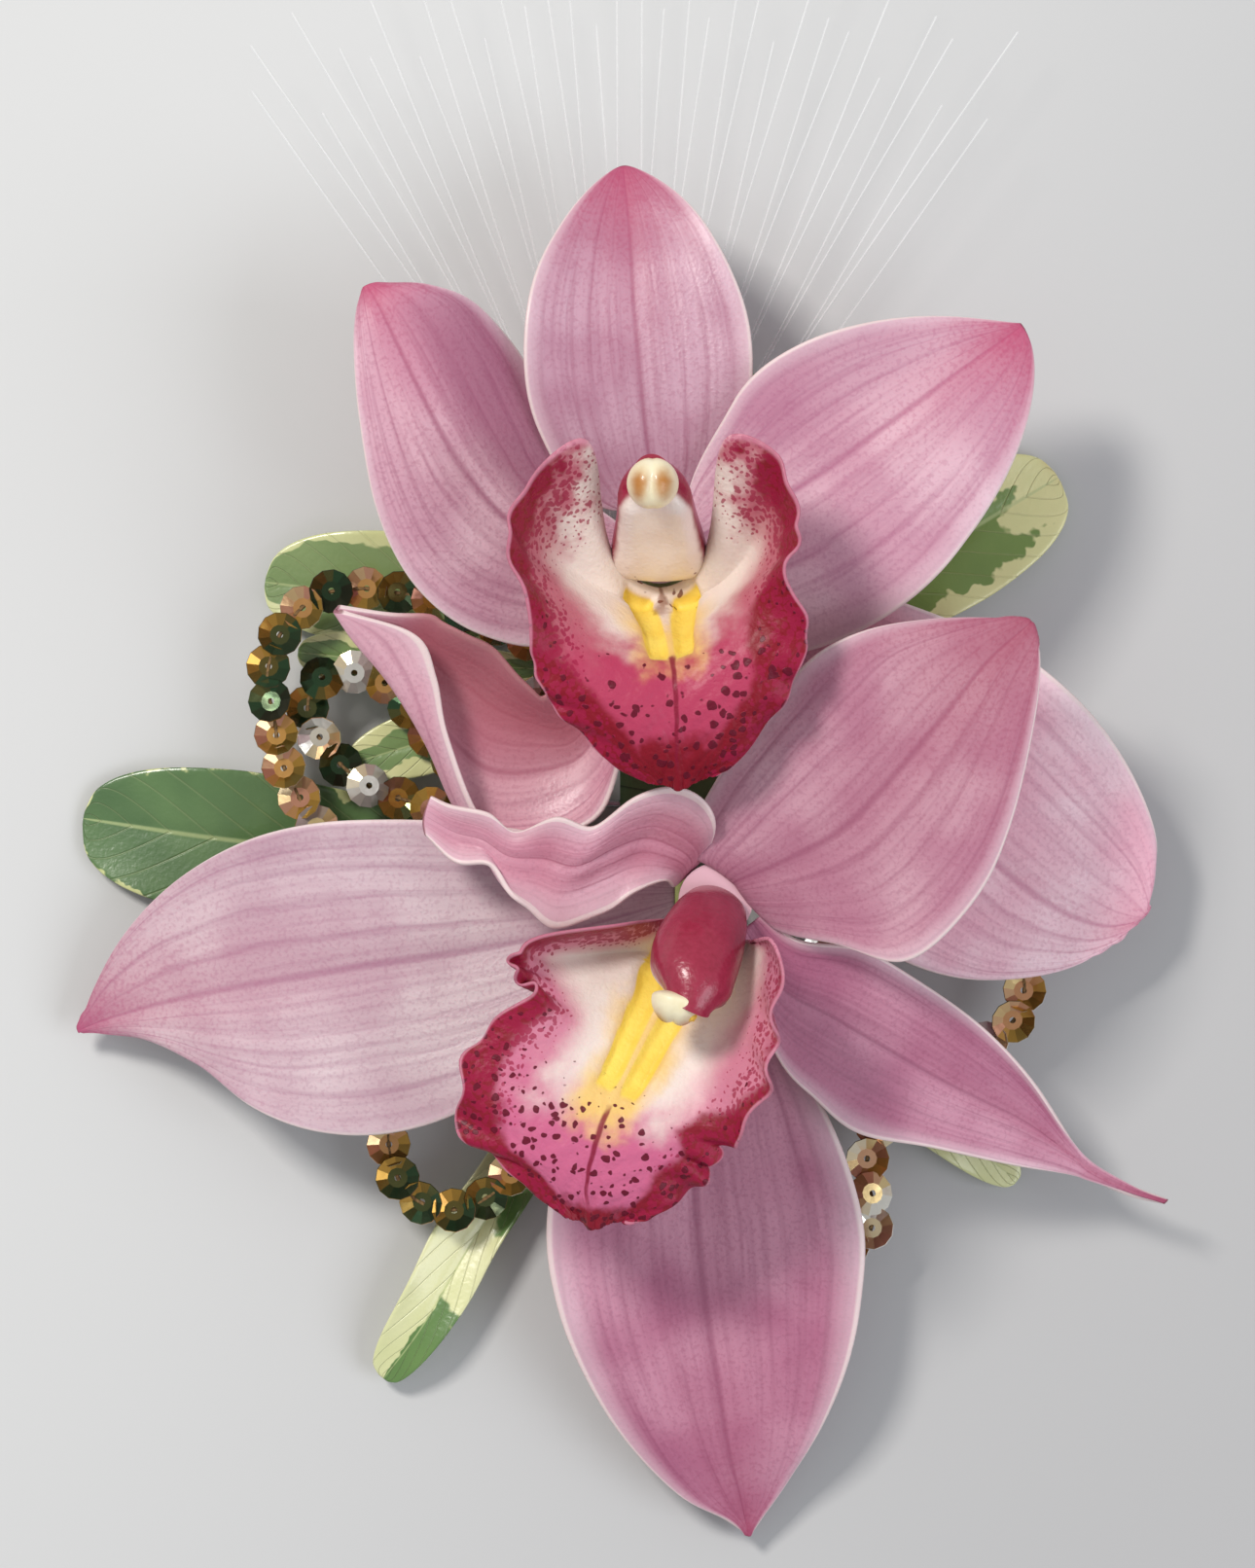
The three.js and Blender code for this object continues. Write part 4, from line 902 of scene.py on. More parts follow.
def tepal_paint(
    name, base, light, vein, tip, tip_start, vein_count, rim_start=0.96, pale_start=0.8, trough_shade=False, fold_shade=0.0
):
    """Petal skin: veins run along the blade by its UV map, speckle and clouds by its own place."""
    material, shader = plain_material(name, {
        "Roughness": 0.5, "Coat Weight": 0.1, "Coat Roughness": 0.3, "Subsurface Weight": 0.08,
        "Subsurface Radius": (0.004, 0.0015, 0.002),
    })
    uv_map = add_node(material, "ShaderNodeUVMap").outputs[0]
    along, width_share = map_shares(material)[:2]
    place = own_place(material)
    across = less(times(width_share, 2.0), 1.0)
    out = math_node("ABSOLUTE", across)
    clouds = noise(place, 70.0)
    cloud_share = steps_between(clouds, 0.35, 0.68)
    speckle = noise(place, 2200.0, 1.0)
    wobble = noise(place, 130.0, 1.0)
    stretched = add_node(
        material, "ShaderNodeMapping", {"Vector": uv_map, "Scale": (2.2, vein_count * 1.6, 1.0)}
    ).outputs[0]
    streaks = noise(stretched, 1.0, 3.0)
    shifted = plus(across, swing(wobble, 0.09))
    wave = math_node("ABSOLUTE", math_node("SINE", times(shifted, vein_count * 0.9)))
    vein_line = fading_between(wave, 0.0, 0.4)
    vein_fade = times(vein_line, steps_between(streaks, 0.32, 0.6))
    midvein = fading_between(out, 0.005, 0.045)
    colour = blend_colours(cloud_share, base, light)
    colour = tinted(colour, steps_between(streaks, 0.4, 0.75), 0.42, vein)
    colour = tinted(colour, vein_fade, 0.24, vein)
    colour = tinted(colour, midvein, 0.5, vein)
    fine = steps_between(speckle, 0.5, 0.68)
    colour = tinted(colour, fine, 0.22, vein)
    ragged = plus(along, swing(speckle, 0.12))
    tip_share = steps_between(ragged, tip_start, 1.04)
    blush = times(
        steps_between(ragged, tip_start - 0.4, 0.95), less(0.5, times(steps_between(out, 0.0, 0.7), 0.35))
    )
    colour = blend_colours(blush, colour, tip)
    colour = tinted(colour, tip_share, 0.85, tip)
    # Painted shade of a fold: the side of the blade that the sign picks is darkened towards the vein colour
    # over the middle of its length
    if fold_shade:
        fold_shade_length = times(steps_between(along, 0.05, 0.3), fading_between(along, 0.6, 0.88))
        fold_shade_share = times(
            steps_between(times(across, fold_shade), 0.05, 0.6), times(fold_shade_length, 0.42 * abs(fold_shade))
        )
        colour = blend_colours(fold_shade_share, colour, vein)
    edge_noise = plus(out, swing(wobble, 0.05))
    pale_edge = times(steps_between(edge_noise, pale_start, 1.0), 0.5)
    colour = blend_colours(pale_edge, colour, "e6cdd6")
    rim = steps_between(out, rim_start, rim_start + 0.025)
    colour = tinted(colour, rim, 0.7, "e8d8d4")
    # Painted shade: the half of the blade towards its right rim, where the twisted sepal's inner trough lies,
    # is darkened to a dull rose short of its tip
    if trough_shade:
        upper = fading_between(across, -0.62, 0.5)
        fade = fading_between(along, 0.72, 0.9)
        shade = times(times(upper, fade), 0.8)
        colour = blend_colours(shade, colour, "ae5864")
    point = steps_between(along, 0.985, 0.995)
    colour = tinted(colour, point, 0.8, "7a3844")
    gloss = less(0.56, times(steps_between(clouds, 0.48, 0.7), 0.2))
    material.node_tree.links.new(gloss, shader.inputs["Roughness"])
    height = less(times(speckle, 0.4), times(larger(vein_line, midvein), 0.15))
    colour_shader(shader, colour, height, 0.00012)
    return material


rose_tepal = tepal_paint(
    "tepal_rose", "b07c93", "c8a0b2", "944c6a", "b03a64", tip_start=0.62, vein_count=17
)
light_tepal = tepal_paint(
    "tepal_light", "cb98ac", "e2bcc9", "a2547a", "b83c68", tip_start=0.7, vein_count=17, fold_shade=1.0
)
# The upper left petal's paint, with the strongest painted fold shade
fold_shaded_tepal = tepal_paint(
    "tepal_fold_shaded", "cb98ac", "e2bcc9", "8e3f63", "b83c68", tip_start=0.7, vein_count=17, fold_shade=-1.5
)
soft_tepal = tepal_paint(
    "tepal_soft", "c8abb6", "e0ced3", "a06c88", "ae3e6c", tip_start=0.54, vein_count=18, rim_start=0.97,
    pale_start=0.93, fold_shade=-0.6,
)
bright_tepal = tepal_paint(
    "tepal_bright", "b4788f", "cfa3b1", "904a69", "9a2a4e", tip_start=0.48, vein_count=18
)
# Partly painted light: paler pink than the other tepals, so that the upper right sepal reads as brightly lit
# where the lower dorsal sepal's shadow falls on it
pale_tepal = tepal_paint(
    "tepal_pale", "ecb3c5", "f8d8e1", "b46a8a", "bc4470", tip_start=0.68, vein_count=18
)
deep_tepal = tepal_paint(
    "tepal_deep", "ab6382", "c68ba2", "863f60", "9c385c", tip_start=0.66, vein_count=15,
    rim_start=0.95, pale_start=0.72,
)
ruffled_tepal = tepal_paint(
    "tepal_ruffled", "b96f85", "cf93a6", "9c5068", "cf9cae", tip_start=0.9, vein_count=14,
    rim_start=0.89, pale_start=0.3,
)
# The twisted upper left sepal's paint, with painted shade in its trough
twisted_tepal = tepal_paint(
    "tepal_twisted", "cb8ea2", "dcaebc", "9c5370", "dca9ba", tip_start=0.8, vein_count=14,
    rim_start=0.93, trough_shade=True,
)


def picture_place(column, row, level):
    """Where a pixel of the picture lies, in millimetres, at a level above the floor."""
    spread = PIXEL * (CAMERA_LEVEL - level) / (CAMERA_LEVEL - BLOOM_LEVEL)
    return Vector((
        PICTURE_MIDDLE[0] + (column - PICTURE_COLUMNS / 2) * spread,
        PICTURE_MIDDLE[1] + (PICTURE_ROWS / 2 - row) * spread,
        level,
    ))


def row_point(rows, share):
    """A place on the smooth line through evenly spaced rows."""
    place = min(max(share, 0), 1) * (len(rows) - 1)
    first = min(int(place), len(rows) - 2)
    start, end = Vector(rows[first]), Vector(rows[first + 1])
    before = Vector(rows[first - 1]) if first > 0 else start * 2 - end
    after = Vector(rows[first + 2]) if first + 2 < len(rows) else end * 2 - start
    return cubic_point(start, (end - before) / 2, end, (after - start) / 2, place - first)


def station_surface(stations):
    """Surface of a curled petal through stations of five places, from its right rim to its left."""
    lines = [[picture_place(*place) for place in station] for station in stations]
    known = {}

    def surface(along, across):
        if across not in known:
            known[across] = [row_point(line, (across + 1) / 2) for line in lines]
        return row_point(known[across], along)
    return surface


# Stations of eight tepals from claw to tip, each of five places from the right rim to the left, as
# column and row of the picture and level in millimetres. Upper_left_sepal twists, its lower margin
# turned over, and lower_left_petal shows its ruffled rim to the front
CURLED = {
    "lower_left_sepal": [
        [(694, 903, 19), (694, 914, 18.8), (694, 926, 18.8), (694, 937, 18.8), (694, 948, 19)],
        [(632, 885, 19), (630, 912, 18.6), (628, 945, 18.3), (628, 985, 18.6), (628, 1020, 19)],
        [(560, 858, 18.8), (555, 905, 18.2), (550, 965, 17.8), (550, 1030, 18), (552, 1090, 18.6)],
        [(482, 846, 18.2), (475, 905, 17.5), (468, 980, 16.9), (468, 1060, 17.1), (475, 1143, 17.8)],
        [(400, 842, 17.4), (392, 905, 16.6), (385, 992, 15.8), (385, 1075, 15.9), (398, 1166, 16.8)],
        [(322, 846, 15.8), (310, 910, 14.7), (303, 1005, 13.9), (303, 1085, 14.1), (325, 1164, 15.1)],
        [(250, 865, 13), (233, 925, 11.6), (228, 1018, 11.1), (232, 1078, 11.7), (262, 1140, 13.2)],
        [(183, 903, 9.6), (166, 955, 8.5), (165, 1032, 7.8), (175, 1064, 8.2), (212, 1098, 10.2)],
        [(130, 957, 7.4), (119, 995, 6.3), (119, 1045, 5.4), (130, 1058, 5.8), (160, 1070, 6.8)],
        [(97, 1015, 5.1), (92, 1035, 4.5), (93, 1054, 4.1), (99, 1059, 4.2), (112, 1063, 4.8)],
        [(83, 1053, 3.8), (81, 1057, 3.7), (80, 1060, 3.7), (82, 1061, 3.7), (86, 1062, 3.8)],
    ],
    "lower_right_sepal": [
        [(711, 974, 18.7), (721, 974, 18.5), (732, 974, 18.5), (743, 974, 18.5), (753, 974, 18.7)],
        [(640, 1080, 15.4), (680, 1085, 14.6), (725, 1088, 14.3), (770, 1085, 14.7), (815, 1080, 15.5)],
        [(580, 1170, 13.8), (645, 1180, 12.6), (715, 1185, 12.2), (790, 1180, 12.7), (862, 1170, 13.8)],
        [(561, 1260, 12.6), (640, 1268, 11.4), (718, 1273, 10.8), (805, 1268, 11.3), (888, 1260, 12.5)],
        [(571, 1340, 11.5), (648, 1348, 10.3), (727, 1353, 9.8), (807, 1348, 10.2), (886, 1335, 11.3)],
        [(599, 1412, 10.3), (668, 1418, 9.2), (738, 1422, 8.6), (808, 1416, 9), (873, 1400, 10.1)],
        [(641, 1480, 8.3), (695, 1484, 7.5), (748, 1486, 6.9), (801, 1480, 7.2), (846, 1465, 8)],
        [(697, 1537, 5.8), (730, 1537, 5), (760, 1536, 4.6), (788, 1530, 4.7), (812, 1520, 5.3)],
        [(745, 1562, 3.9), (757, 1563, 3.4), (766, 1563, 3.1), (776, 1561, 3.4), (787, 1556, 3.9)],
        [(766, 1577, 2.8), (768, 1578, 2.8), (769, 1579, 2.8), (770, 1579, 2.8), (772, 1578, 2.8)],
    ],
    "lower_right_petal": [
        [(748, 968, 21), (756, 961, 20.8), (765, 954, 20.8), (774, 947, 20.8), (783, 940, 21)],
        [(798, 1085, 20.5), (798, 1050, 20), (803, 1015, 20), (810, 985, 21), (822, 966, 22.5)],
        [(838, 1130, 19.5), (846, 1090, 18.8), (856, 1045, 18.5), (868, 1000, 20), (885, 975, 21.5)],
        [(882, 1166, 18), (900, 1120, 17), (916, 1080, 16.8), (935, 1035, 18), (945, 1010, 19.5)],
        [(955, 1180, 15.6), (968, 1150, 14.9), (983, 1118, 14.6), (1000, 1080, 15.5), (1010, 1056, 16.8)],
        [(1040, 1198, 12.6), (1046, 1175, 12.1), (1052, 1152, 12), (1056, 1125, 12.5), (1060, 1108, 13.5)],
        [(1100, 1207, 10.4), (1100, 1197, 10.2), (1100, 1187, 10), (1098, 1175, 10.3), (1096, 1163, 10.8)],
        [(1118, 1213, 9.6), (1120, 1209, 9.6), (1122, 1205, 9.5), (1122, 1200, 9.6), (1122, 1196, 9.8)],
        [(1160, 1228, 9.2), (1161, 1226, 9.2), (1162, 1224, 9.2), (1163, 1222, 9.2), (1164, 1219, 9.3)],
        [(1197, 1238, 9.2), (1198, 1237, 9.2), (1199, 1236, 9.2), (1200, 1235, 9.2), (1201, 1233, 9.2)],
    ],
    "lower_dorsal_sepal": [
        [(779, 925, 21), (775, 916, 20.8), (771, 906, 20.8), (766, 897, 20.8), (760, 888, 21)],
        [(800, 957, 23), (776, 930, 22.6), (757, 905, 22.8), (733, 885, 23), (706, 872, 23.3)],
        [(862, 971, 26.5), (835, 935, 26), (805, 885, 26.2), (775, 835, 26.5), (738, 797, 26)],
        [(935, 988, 29), (905, 930, 28.5), (868, 850, 29), (830, 775, 29.3), (785, 735, 28.5)],
        [(1003, 925, 31), (970, 870, 30.5), (925, 790, 30.6), (880, 725, 31), (832, 678, 30)],
        [(1040, 845, 31.5), (1015, 790, 31), (975, 730, 31), (925, 680, 31), (888, 648, 30.5)],
        [(1064, 740, 31), (1045, 710, 30.8), (1015, 680, 30.8), (980, 655, 30.8), (955, 636, 30.3)],
        [(1069, 675, 30.2), (1064, 660, 30), (1055, 644, 30), (1040, 638, 30), (1020, 635, 30)],
        [(1059, 645, 29.6), (1058, 643, 29.6), (1057, 641, 29.6), (1054, 640, 29.6), (1051, 639, 29.6)],
    ],
    "upper_right_sepal": [
        [(697, 606, 19), (703, 597, 18.8), (709, 588, 18.8), (716, 579, 18.8), (723, 570, 19)],
        [(735, 690, 19.3), (760, 665, 19), (785, 640, 18.9), (810, 615, 19), (835, 590, 19.3)],
        [(775, 800, 18.8), (815, 760, 18.5), (860, 715, 18.4), (905, 670, 18.4), (945, 625, 18.6)],
        [(835, 905, 16.8), (880, 860, 16.5), (935, 800, 16.4), (990, 735, 16.4), (1040, 665, 16.7)],
        [(905, 975, 14.4), (950, 935, 14.1), (1005, 870, 14.1), (1060, 800, 14.2), (1112, 722, 14.7)],
        [(985, 1006, 12.4), (1020, 980, 12), (1070, 925, 11.8), (1120, 860, 11.5), (1158, 785, 11.9)],
        [(1070, 1003, 10.8), (1095, 985, 10.4), (1125, 950, 10), (1160, 900, 9.7), (1186, 850, 9.9)],
        [(1128, 980, 9.8), (1140, 972, 9.5), (1157, 950, 9.2), (1175, 925, 9.1), (1188, 890, 9.2)],
        [(1160, 954, 9.1), (1166, 949, 8.9), (1172, 943, 8.8), (1177, 936, 8.8), (1182, 925, 8.9)],
        [(1177, 935, 8.6), (1178, 934, 8.6), (1179, 933, 8.6), (1180, 932, 8.6), (1181, 930, 8.6)],
    ],
    "upper_left_petal": [
        [(635, 537, 21), (636, 548, 20.8), (637, 559, 20.8), (638, 570, 20.8), (639, 581, 21)],
        [(595, 505, 21), (590, 535, 22), (585, 565, 22.5), (578, 610, 22), (572, 660, 21.5)],
        [(573, 462, 20), (548, 495, 23), (522, 535, 24.5), (505, 600, 24), (492, 652, 23.5)],
        [(562, 425, 19), (520, 450, 23.2), (478, 485, 25.3), (448, 555, 25), (428, 605, 24.5)],
        [(548, 392, 18.5), (500, 412, 23), (450, 440, 25.6), (415, 490, 25.5), (388, 530, 25)],
        [(527, 352, 19), (478, 368, 23.2), (425, 390, 25.5), (393, 420, 25.4), (370, 435, 25)],
        [(490, 311, 20.5), (450, 322, 23.5), (402, 342, 25), (380, 355, 25), (364, 362, 24.6)],
        [(445, 294, 22.8), (420, 300, 24), (388, 312, 24.3), (375, 318, 24.2), (366, 322, 24)],
        [(390, 293, 23), (384, 293, 23.1), (377, 294, 23.2), (375, 297, 23.1), (373, 300, 23)],
    ],
    "upper_left_sepal": [
        [(637, 583, 19), (646, 589, 18.8), (655, 595, 18.8), (664, 601, 18.8), (673, 608, 19)],
        [(592, 650, 18.5), (610, 668, 17), (630, 688, 16.5), (650, 706, 17.5), (668, 722, 20)],
        [(562, 715, 20), (585, 742, 17), (606, 768, 16.2), (634, 785, 18), (646, 758, 22)],
        [(537, 700, 21), (548, 742, 17.3), (563, 790, 16), (588, 838, 17.5), (616, 838, 21)],
        [(509, 664, 21.5), (506, 724, 17.3), (508, 792, 16), (520, 852, 17), (545, 856, 20)],
        [(480, 650, 22), (479, 704, 17.8), (474, 770, 16.3), (474, 834, 17.5), (494, 842, 21.5)],
        [(455, 640, 22.3), (453, 690, 18.3), (446, 735, 17.3), (440, 764, 19.5), (458, 758, 23)],
        [(440, 632, 22.4), (433, 668, 19.5), (421, 695, 18.6), (403, 702, 20.5), (449, 697, 23.6)],
        [(402, 630, 22), (396, 645, 20.6), (384, 657, 20.2), (366, 656, 21), (428, 652, 23.6)],
        [(347, 623, 21.6), (346, 624, 21.5), (345, 625, 21.5), (345, 627, 21.6), (349, 628, 22)],
    ],
    "lower_left_petal": [
        [(723, 880, 21.5), (715, 888, 21), (707, 896, 20.8), (699, 904, 21), (691, 912, 21.5)],
        [(736, 848, 27), (722, 864, 25), (708, 880, 23.5), (694, 894, 23), (682, 906, 24)],
        [(722, 822, 29.5), (706, 845, 27), (690, 868, 25), (672, 890, 24.5), (655, 917, 25.5)],
        [(690, 810, 30.5), (676, 835, 28), (662, 860, 26), (645, 892, 25), (628, 936, 26)],
        [(650, 820, 30), (640, 845, 28.5), (628, 872, 27), (613, 907, 26), (600, 947, 27)],
        [(611, 850, 28.5), (603, 868, 28.6), (592, 890, 28), (578, 918, 27), (568, 955, 27.5)],
        [(573, 839, 29.5), (567, 860, 28.5), (560, 882, 27.5), (550, 908, 27), (543, 936, 28)],
        [(530, 855, 27.6), (527, 867, 27.8), (524, 880, 27.5), (516, 900, 27.3), (524, 922, 29)],
        [(502, 836, 28.5), (499, 850, 27.5), (497, 863, 27), (497, 876, 27), (504, 890, 28.5)],
        [(463, 827, 27), (465, 840, 26.5), (468, 855, 26), (470, 870, 26), (468, 887, 27)],
        [(443, 818, 26.2), (439, 827, 26), (435, 838, 26), (434, 848, 26), (436, 858, 26.2)],
    ],
}

# Two tepals are plain cupped blades, seated at a heading round the head; CURLED has the others
TEPALS = {
    "lower_left_sepal": {"paint": soft_tepal},
    "lower_right_sepal": {"paint": deep_tepal},
    "lower_right_petal": {"paint": deep_tepal},
    "lower_dorsal_sepal": {"paint": bright_tepal},
    "lower_left_petal": {"paint": ruffled_tepal},
    "upper_right_sepal": {"paint": pale_tepal},
    "upper_left_sepal": {"paint": twisted_tepal},
    "upper_dorsal_sepal": {
        "drop": SEPAL_DROP, "seat": 95, "heading": 95.5, "length": 0.325, "paint": rose_tepal,
        "spine": [(0, 0, 0), (0.25, 0.01, 0.05), (0.55, 0.01, 0.05), (0.8, 0, 0), (1, 0, -0.08)],
        "left": {"width": 0.1058, "peak": 0.42, "point": 0.75, "lift": 0.14},
        "right": {"width": 0.1058, "peak": 0.42, "point": 0.75, "lift": 0.14},
    },
    "upper_left_petal": {"paint": fold_shaded_tepal},
    "upper_right_petal": {
        "drop": PETAL_DROP, "seat": 15, "heading": 33, "length": 0.3633, "paint": light_tepal,
        "spine": [(0, 0, 0), (0.25, -0.035, 0.06), (0.55, -0.025, 0.09), (0.8, -0.01, 0.07), (1, 0, 0.02)],
        "left": {"width": 0.1092, "peak": 0.42, "point": 1.05, "lift": 0.12},
        "right": {"width": 0.145, "peak": 0.3, "point": 0.57, "lift": -0.06},
    },
}
for tepal_name, tepal in TEPALS.items():
    # Each blade's ripple starts elsewhere
    wave_start = len(tepal_name)
    if tepal_name in CURLED:
        surface = station_surface(CURLED[tepal_name])
    else:
        head = HEADS[tepal_name.split("_")[0]]
        seat = head + heading_vector(tepal["seat"]) * (HEAD_RADIUS + HEAD_GAP) - UP * tepal["drop"]
        surface = blade_surface(seat, tepal, CLAW_WIDTH, TEPAL_TIP_WIDTH)

    def tepal_relief(along, across):
        middle = math.sin(math.pi * along)
        groove = -0.3 * hump(across, 0.07) * middle
        ribs = 0.06 * math.cos(across * 28) * (1 - abs(across)) * middle
        wave = 0.4 * abs(across) ** 4 * math.sin(along * 13 + across * 2 + wave_start) * middle
        return groove + ribs + wave

    blade = thin_sheet(
        tepal_name + "_skin", surface, TEPAL_THICKNESS, rows=64, columns=32, relief=tepal_relief
    )
    finish_piece(blade, tepal["paint"], replaced=[tepal_name])


# Lips: the three-lobed lip of each bloom, its side lobes rising round the column and its middle
# lobe curling down, with two yellow keels, crimson spots and a frilled crimson border.
LOBE_WIDTH = 10
LIP_THICKNESS = 0.8
KEEL_HEIGHT = 1.3
RIB_OUT = [0.8, 1.05, 0.95, 0.75, 0.6, 0.5, 0.5, 0.5, 0.5]
RIB_UP = [0.5, -0.15, 0.15, 0.35, 0.45, 0.5, 0.5, 0.5, 0.5]
RIB_BELLY = [-0.05, -0.6, -0.6, -0.5, -0.3, 0, 0.15, 0.15, 0]


def smooth_step(value, low, high):
    share = min(max((value - low) / (high - low), 0), 1)
    return share * share * (3 - 2 * share)


def lip_surface(head, rows):
    """Surface of a lip, each half of it bent from the midline's row to the rim's row."""
    ribs = list(zip(RIB_OUT, RIB_UP, RIB_BELLY))

    def surface(along, across):
        start = row_point(rows["middle"], along)
        end = row_point(rows["right" if across < 0 else "left"], along)
        out, lift, belly = row_point(ribs, along)
        middle = Vector((
            start.x + (end.x - start.x) * out,
            start.y + (end.y - start.y) * lift,
            (start.z + end.z) / 2 + belly,
        ))
        share = abs(across)
        scallop = rows["scallop"] * share ** 6 * math.sin(along * 50 + math.sin(along * 19) * 2 + across)
        share += scallop * smooth_step(along, 0.25, 0.4) * (1 - smooth_step(along, 0.95, 1))
        point = start * (1 - share) ** 2 + middle * 2 * share * (1 - share) + end * share ** 2
        return head + point * LOBE_WIDTH
    return surface


def keel_share(surface, along, across):
    """1 on the two keels and 0 beside them; they draw together from 2.9 to 1.5 mm off the midline."""
    off = (surface(along, across) - surface(along, 0)).length
    closing = smooth_step(along, 0.1, 0.6)
    reach = 2.3 - 0.8 * closing
    sideways = 1 - smooth_step(abs(off - 2.9 + 1.4 * closing), reach * 0.6, reach)
    return sideways * smooth_step(along, 0.06, 0.15) * (1 - smooth_step(along, 0.53, 0.62))


def lip_relief(surface, frill, along, across):
    edge = max(abs(across) ** 5, 0.4 * smooth_step(along, 0.88, 1))
    turns = along * 46 + math.sin(along * 17) * 2.5 + across * 7
    wave = frill * edge * math.sin(turns) * smooth_step(along, 0.12, 0.3)
    crease = -0.3 * hump(across, 0.05) * smooth_step(along, 0.55, 0.75)
    pebbles = 0.1 * math.sin(along * 90 + 3 * math.sin(across * 40)) * math.sin(across * 55)
    pebbles *= smooth_step(along, 0.45, 0.6)
    return KEEL_HEIGHT * keel_share(surface, along, across) + wave + crease + pebbles


def lip_paint(
    name, field, field_start, border_start, side_start, lobe_border, outer_pull, right_pale, stripe_start,
    spot_scale, inner_pale,
):
    """Lip skin: cream throat, yellow keels, pink field with crimson spots, crimson border."""
    material, shader = plain_material(name, {
        "Roughness": 0.46, "Coat Weight": 0.05, "Specular IOR Level": 0.22, "Coat Roughness": 0.2,
        "Subsurface Weight": 0.05, "Subsurface Radius": (0.003, 0.001, 0.0015),
    })
    along, width_share = map_shares(material)[:2]
    place = own_place(material)
    out = from_midline(width_share)
    ragged = noise(place, 320.0, 3.0)
    fine = noise(place, 1700.0)
    # Spots and dots are pulled a little out of their round shape
    bent = add_node(place, "ShaderNodeTexNoise", {"Vector": place, "Scale": 900.0, "Detail": 1.0})
    bend = add_node(
        place, "ShaderNodeVectorMath", {0: bent.outputs["Color"], 1: (0.0009, 0.0009, 0.0009)},
        operation="MULTIPLY",
    ).outputs[0]
    bent_place = add_node(place, "ShaderNodeVectorMath", {0: place, 1: bend}, operation="ADD").outputs[0]
    spots = add_node(
        material, "ShaderNodeTexVoronoi", {"Vector": bent_place, "Scale": spot_scale, "Randomness": 0.85}
    )
    dots = add_node(
        material, "ShaderNodeTexVoronoi", {"Vector": bent_place, "Scale": 1500.0, "Randomness": 1.0}
    )
    spot_size = add_node(material, "ShaderNodeSeparateColor", {0: spots.outputs["Color"]}).outputs[0]
    shift = swing(ragged, 0.2)
    rough_out = plus(out, shift)
    rough_along = plus(along, shift)
    inner_edge = fading_between(rough_along, 0.13, 0.3)
    inner_fade = times(inner_edge, inner_pale)
    middle_lobe = steps_between(rough_along, field_start, field_start + 0.18)
    colour = blend_colours(ragged, "dfcdc6", "f0e5dc")
    colour = blend_colours(middle_lobe, colour, field)
    low_out = plus(rough_out, times(steps_between(along, 0.3, 0.48), outer_pull))
    low_out = less(low_out, inner_fade)
    outer_pink = times(steps_between(low_out, 0.46, 0.8), 0.85)
    colour = blend_colours(outer_pink, colour, field)
    glow = times(
        times(
            steps_between(rough_along, 0.34, 0.46),
            fading_between(rough_along, field_start + 0.08, field_start + 0.2),
        ),
        fading_between(rough_out, 0.14, 0.34),
    )
    colour = tinted(colour, glow, 0.8, "efc65a")
    # The border is widest round the middle lobe
    lobe_out = plus(rough_out, times(steps_between(along, 0.5, 0.8), lobe_border))
    notch = times(
        fading_between(width_share, 0.2, 0.4),
        times(steps_between(along, 0.47, 0.53), fading_between(along, 0.59, 0.66)),
    )
    lobe_out = plus(lobe_out, times(notch, 0.2))
    right_side = times(fading_between(width_share, 0.2, 0.4), fading_between(along, 0.42, 0.5))
    lobe_out = less(lobe_out, times(right_side, right_pale))
    throat = fading_between(along, 0.12, 0.34)
    lobe_out = less(lobe_out, times(throat, 0.13))
    lobe_out = less(lobe_out, inner_fade)
    border = larger(
        steps_between(lobe_out, side_start, side_start + 0.13),
        steps_between(rough_along, border_start, border_start + 0.09),
    )
    colour = tinted(colour, border, 0.96, "820a1e")
    dot_zone = less(
        steps_between(rough_out, 0.42, 0.86),
        plus(times(right_side, right_pale * 2), times(inner_fade, 1.4)),
    )
    dot_line = less(times(dot_zone, 0.68), dots.outputs["Distance"])
    dot = steps_between(dot_line, 0.0, 0.12)
    colour = tinted(colour, dot, 0.75, "98143f")
    spot_zone = larger(
        steps_between(rough_along, 0.52, 0.64),
        times(steps_between(rough_out, 0.6, 0.85), times(steps_between(along, 0.36, 0.5), 0.75)),
    )
    spot_reach = times(spot_zone, plus(0.24, times(spot_size, 0.22)))
    spot = steps_between(less(spot_reach, spots.outputs["Distance"]), 0.0, 0.07)
    colour = tinted(colour, spot, 0.97, "620622")
    stripe = times(
        fading_between(out, 0.01, 0.03),
        times(
            steps_between(rough_along, stripe_start, stripe_start + 0.04),
            fading_between(rough_along, 0.84, 0.92),
        ),
    )
    colour = tinted(colour, stripe, 0.9, "82102f")
    keel = add_node(material, "ShaderNodeAttribute", attribute_name="keel").outputs["Fac"]
    keel_top = fading_between(along, 0.1, 0.18)
    keel_colour = blend_colours(ragged, "ecc644", "f9e676")
    keel_colour = tinted(keel_colour, keel_top, 0.7, "96521f")
    colour = blend_colours(steps_between(keel, 0.15, 0.45), colour, keel_colour)
    stroke = times(fading_between(rough_out, 0.0, 0.035), fading_between(rough_along, 0.25, 0.4))
    colour = tinted(colour, stroke, 0.7, "7c4322")
    mark_zone = times(fading_between(along, 0.2, 0.34), fading_between(out, 0.25, 0.42))
    mark = steps_between(less(times(mark_zone, 0.36), spots.outputs["Distance"]), 0.0, 0.07)
    colour = tinted(colour, mark, 0.85, "6f3320")
    pale_rim = steps_between(out, 0.975, 0.995)
    colour = tinted(colour, pale_rim, 0.45, "e7a3bb")
    height = plus(times(fine, 0.6), times(spot, 0.3))
    colour_shader(shader, colour, height, 0.0002)
    return material


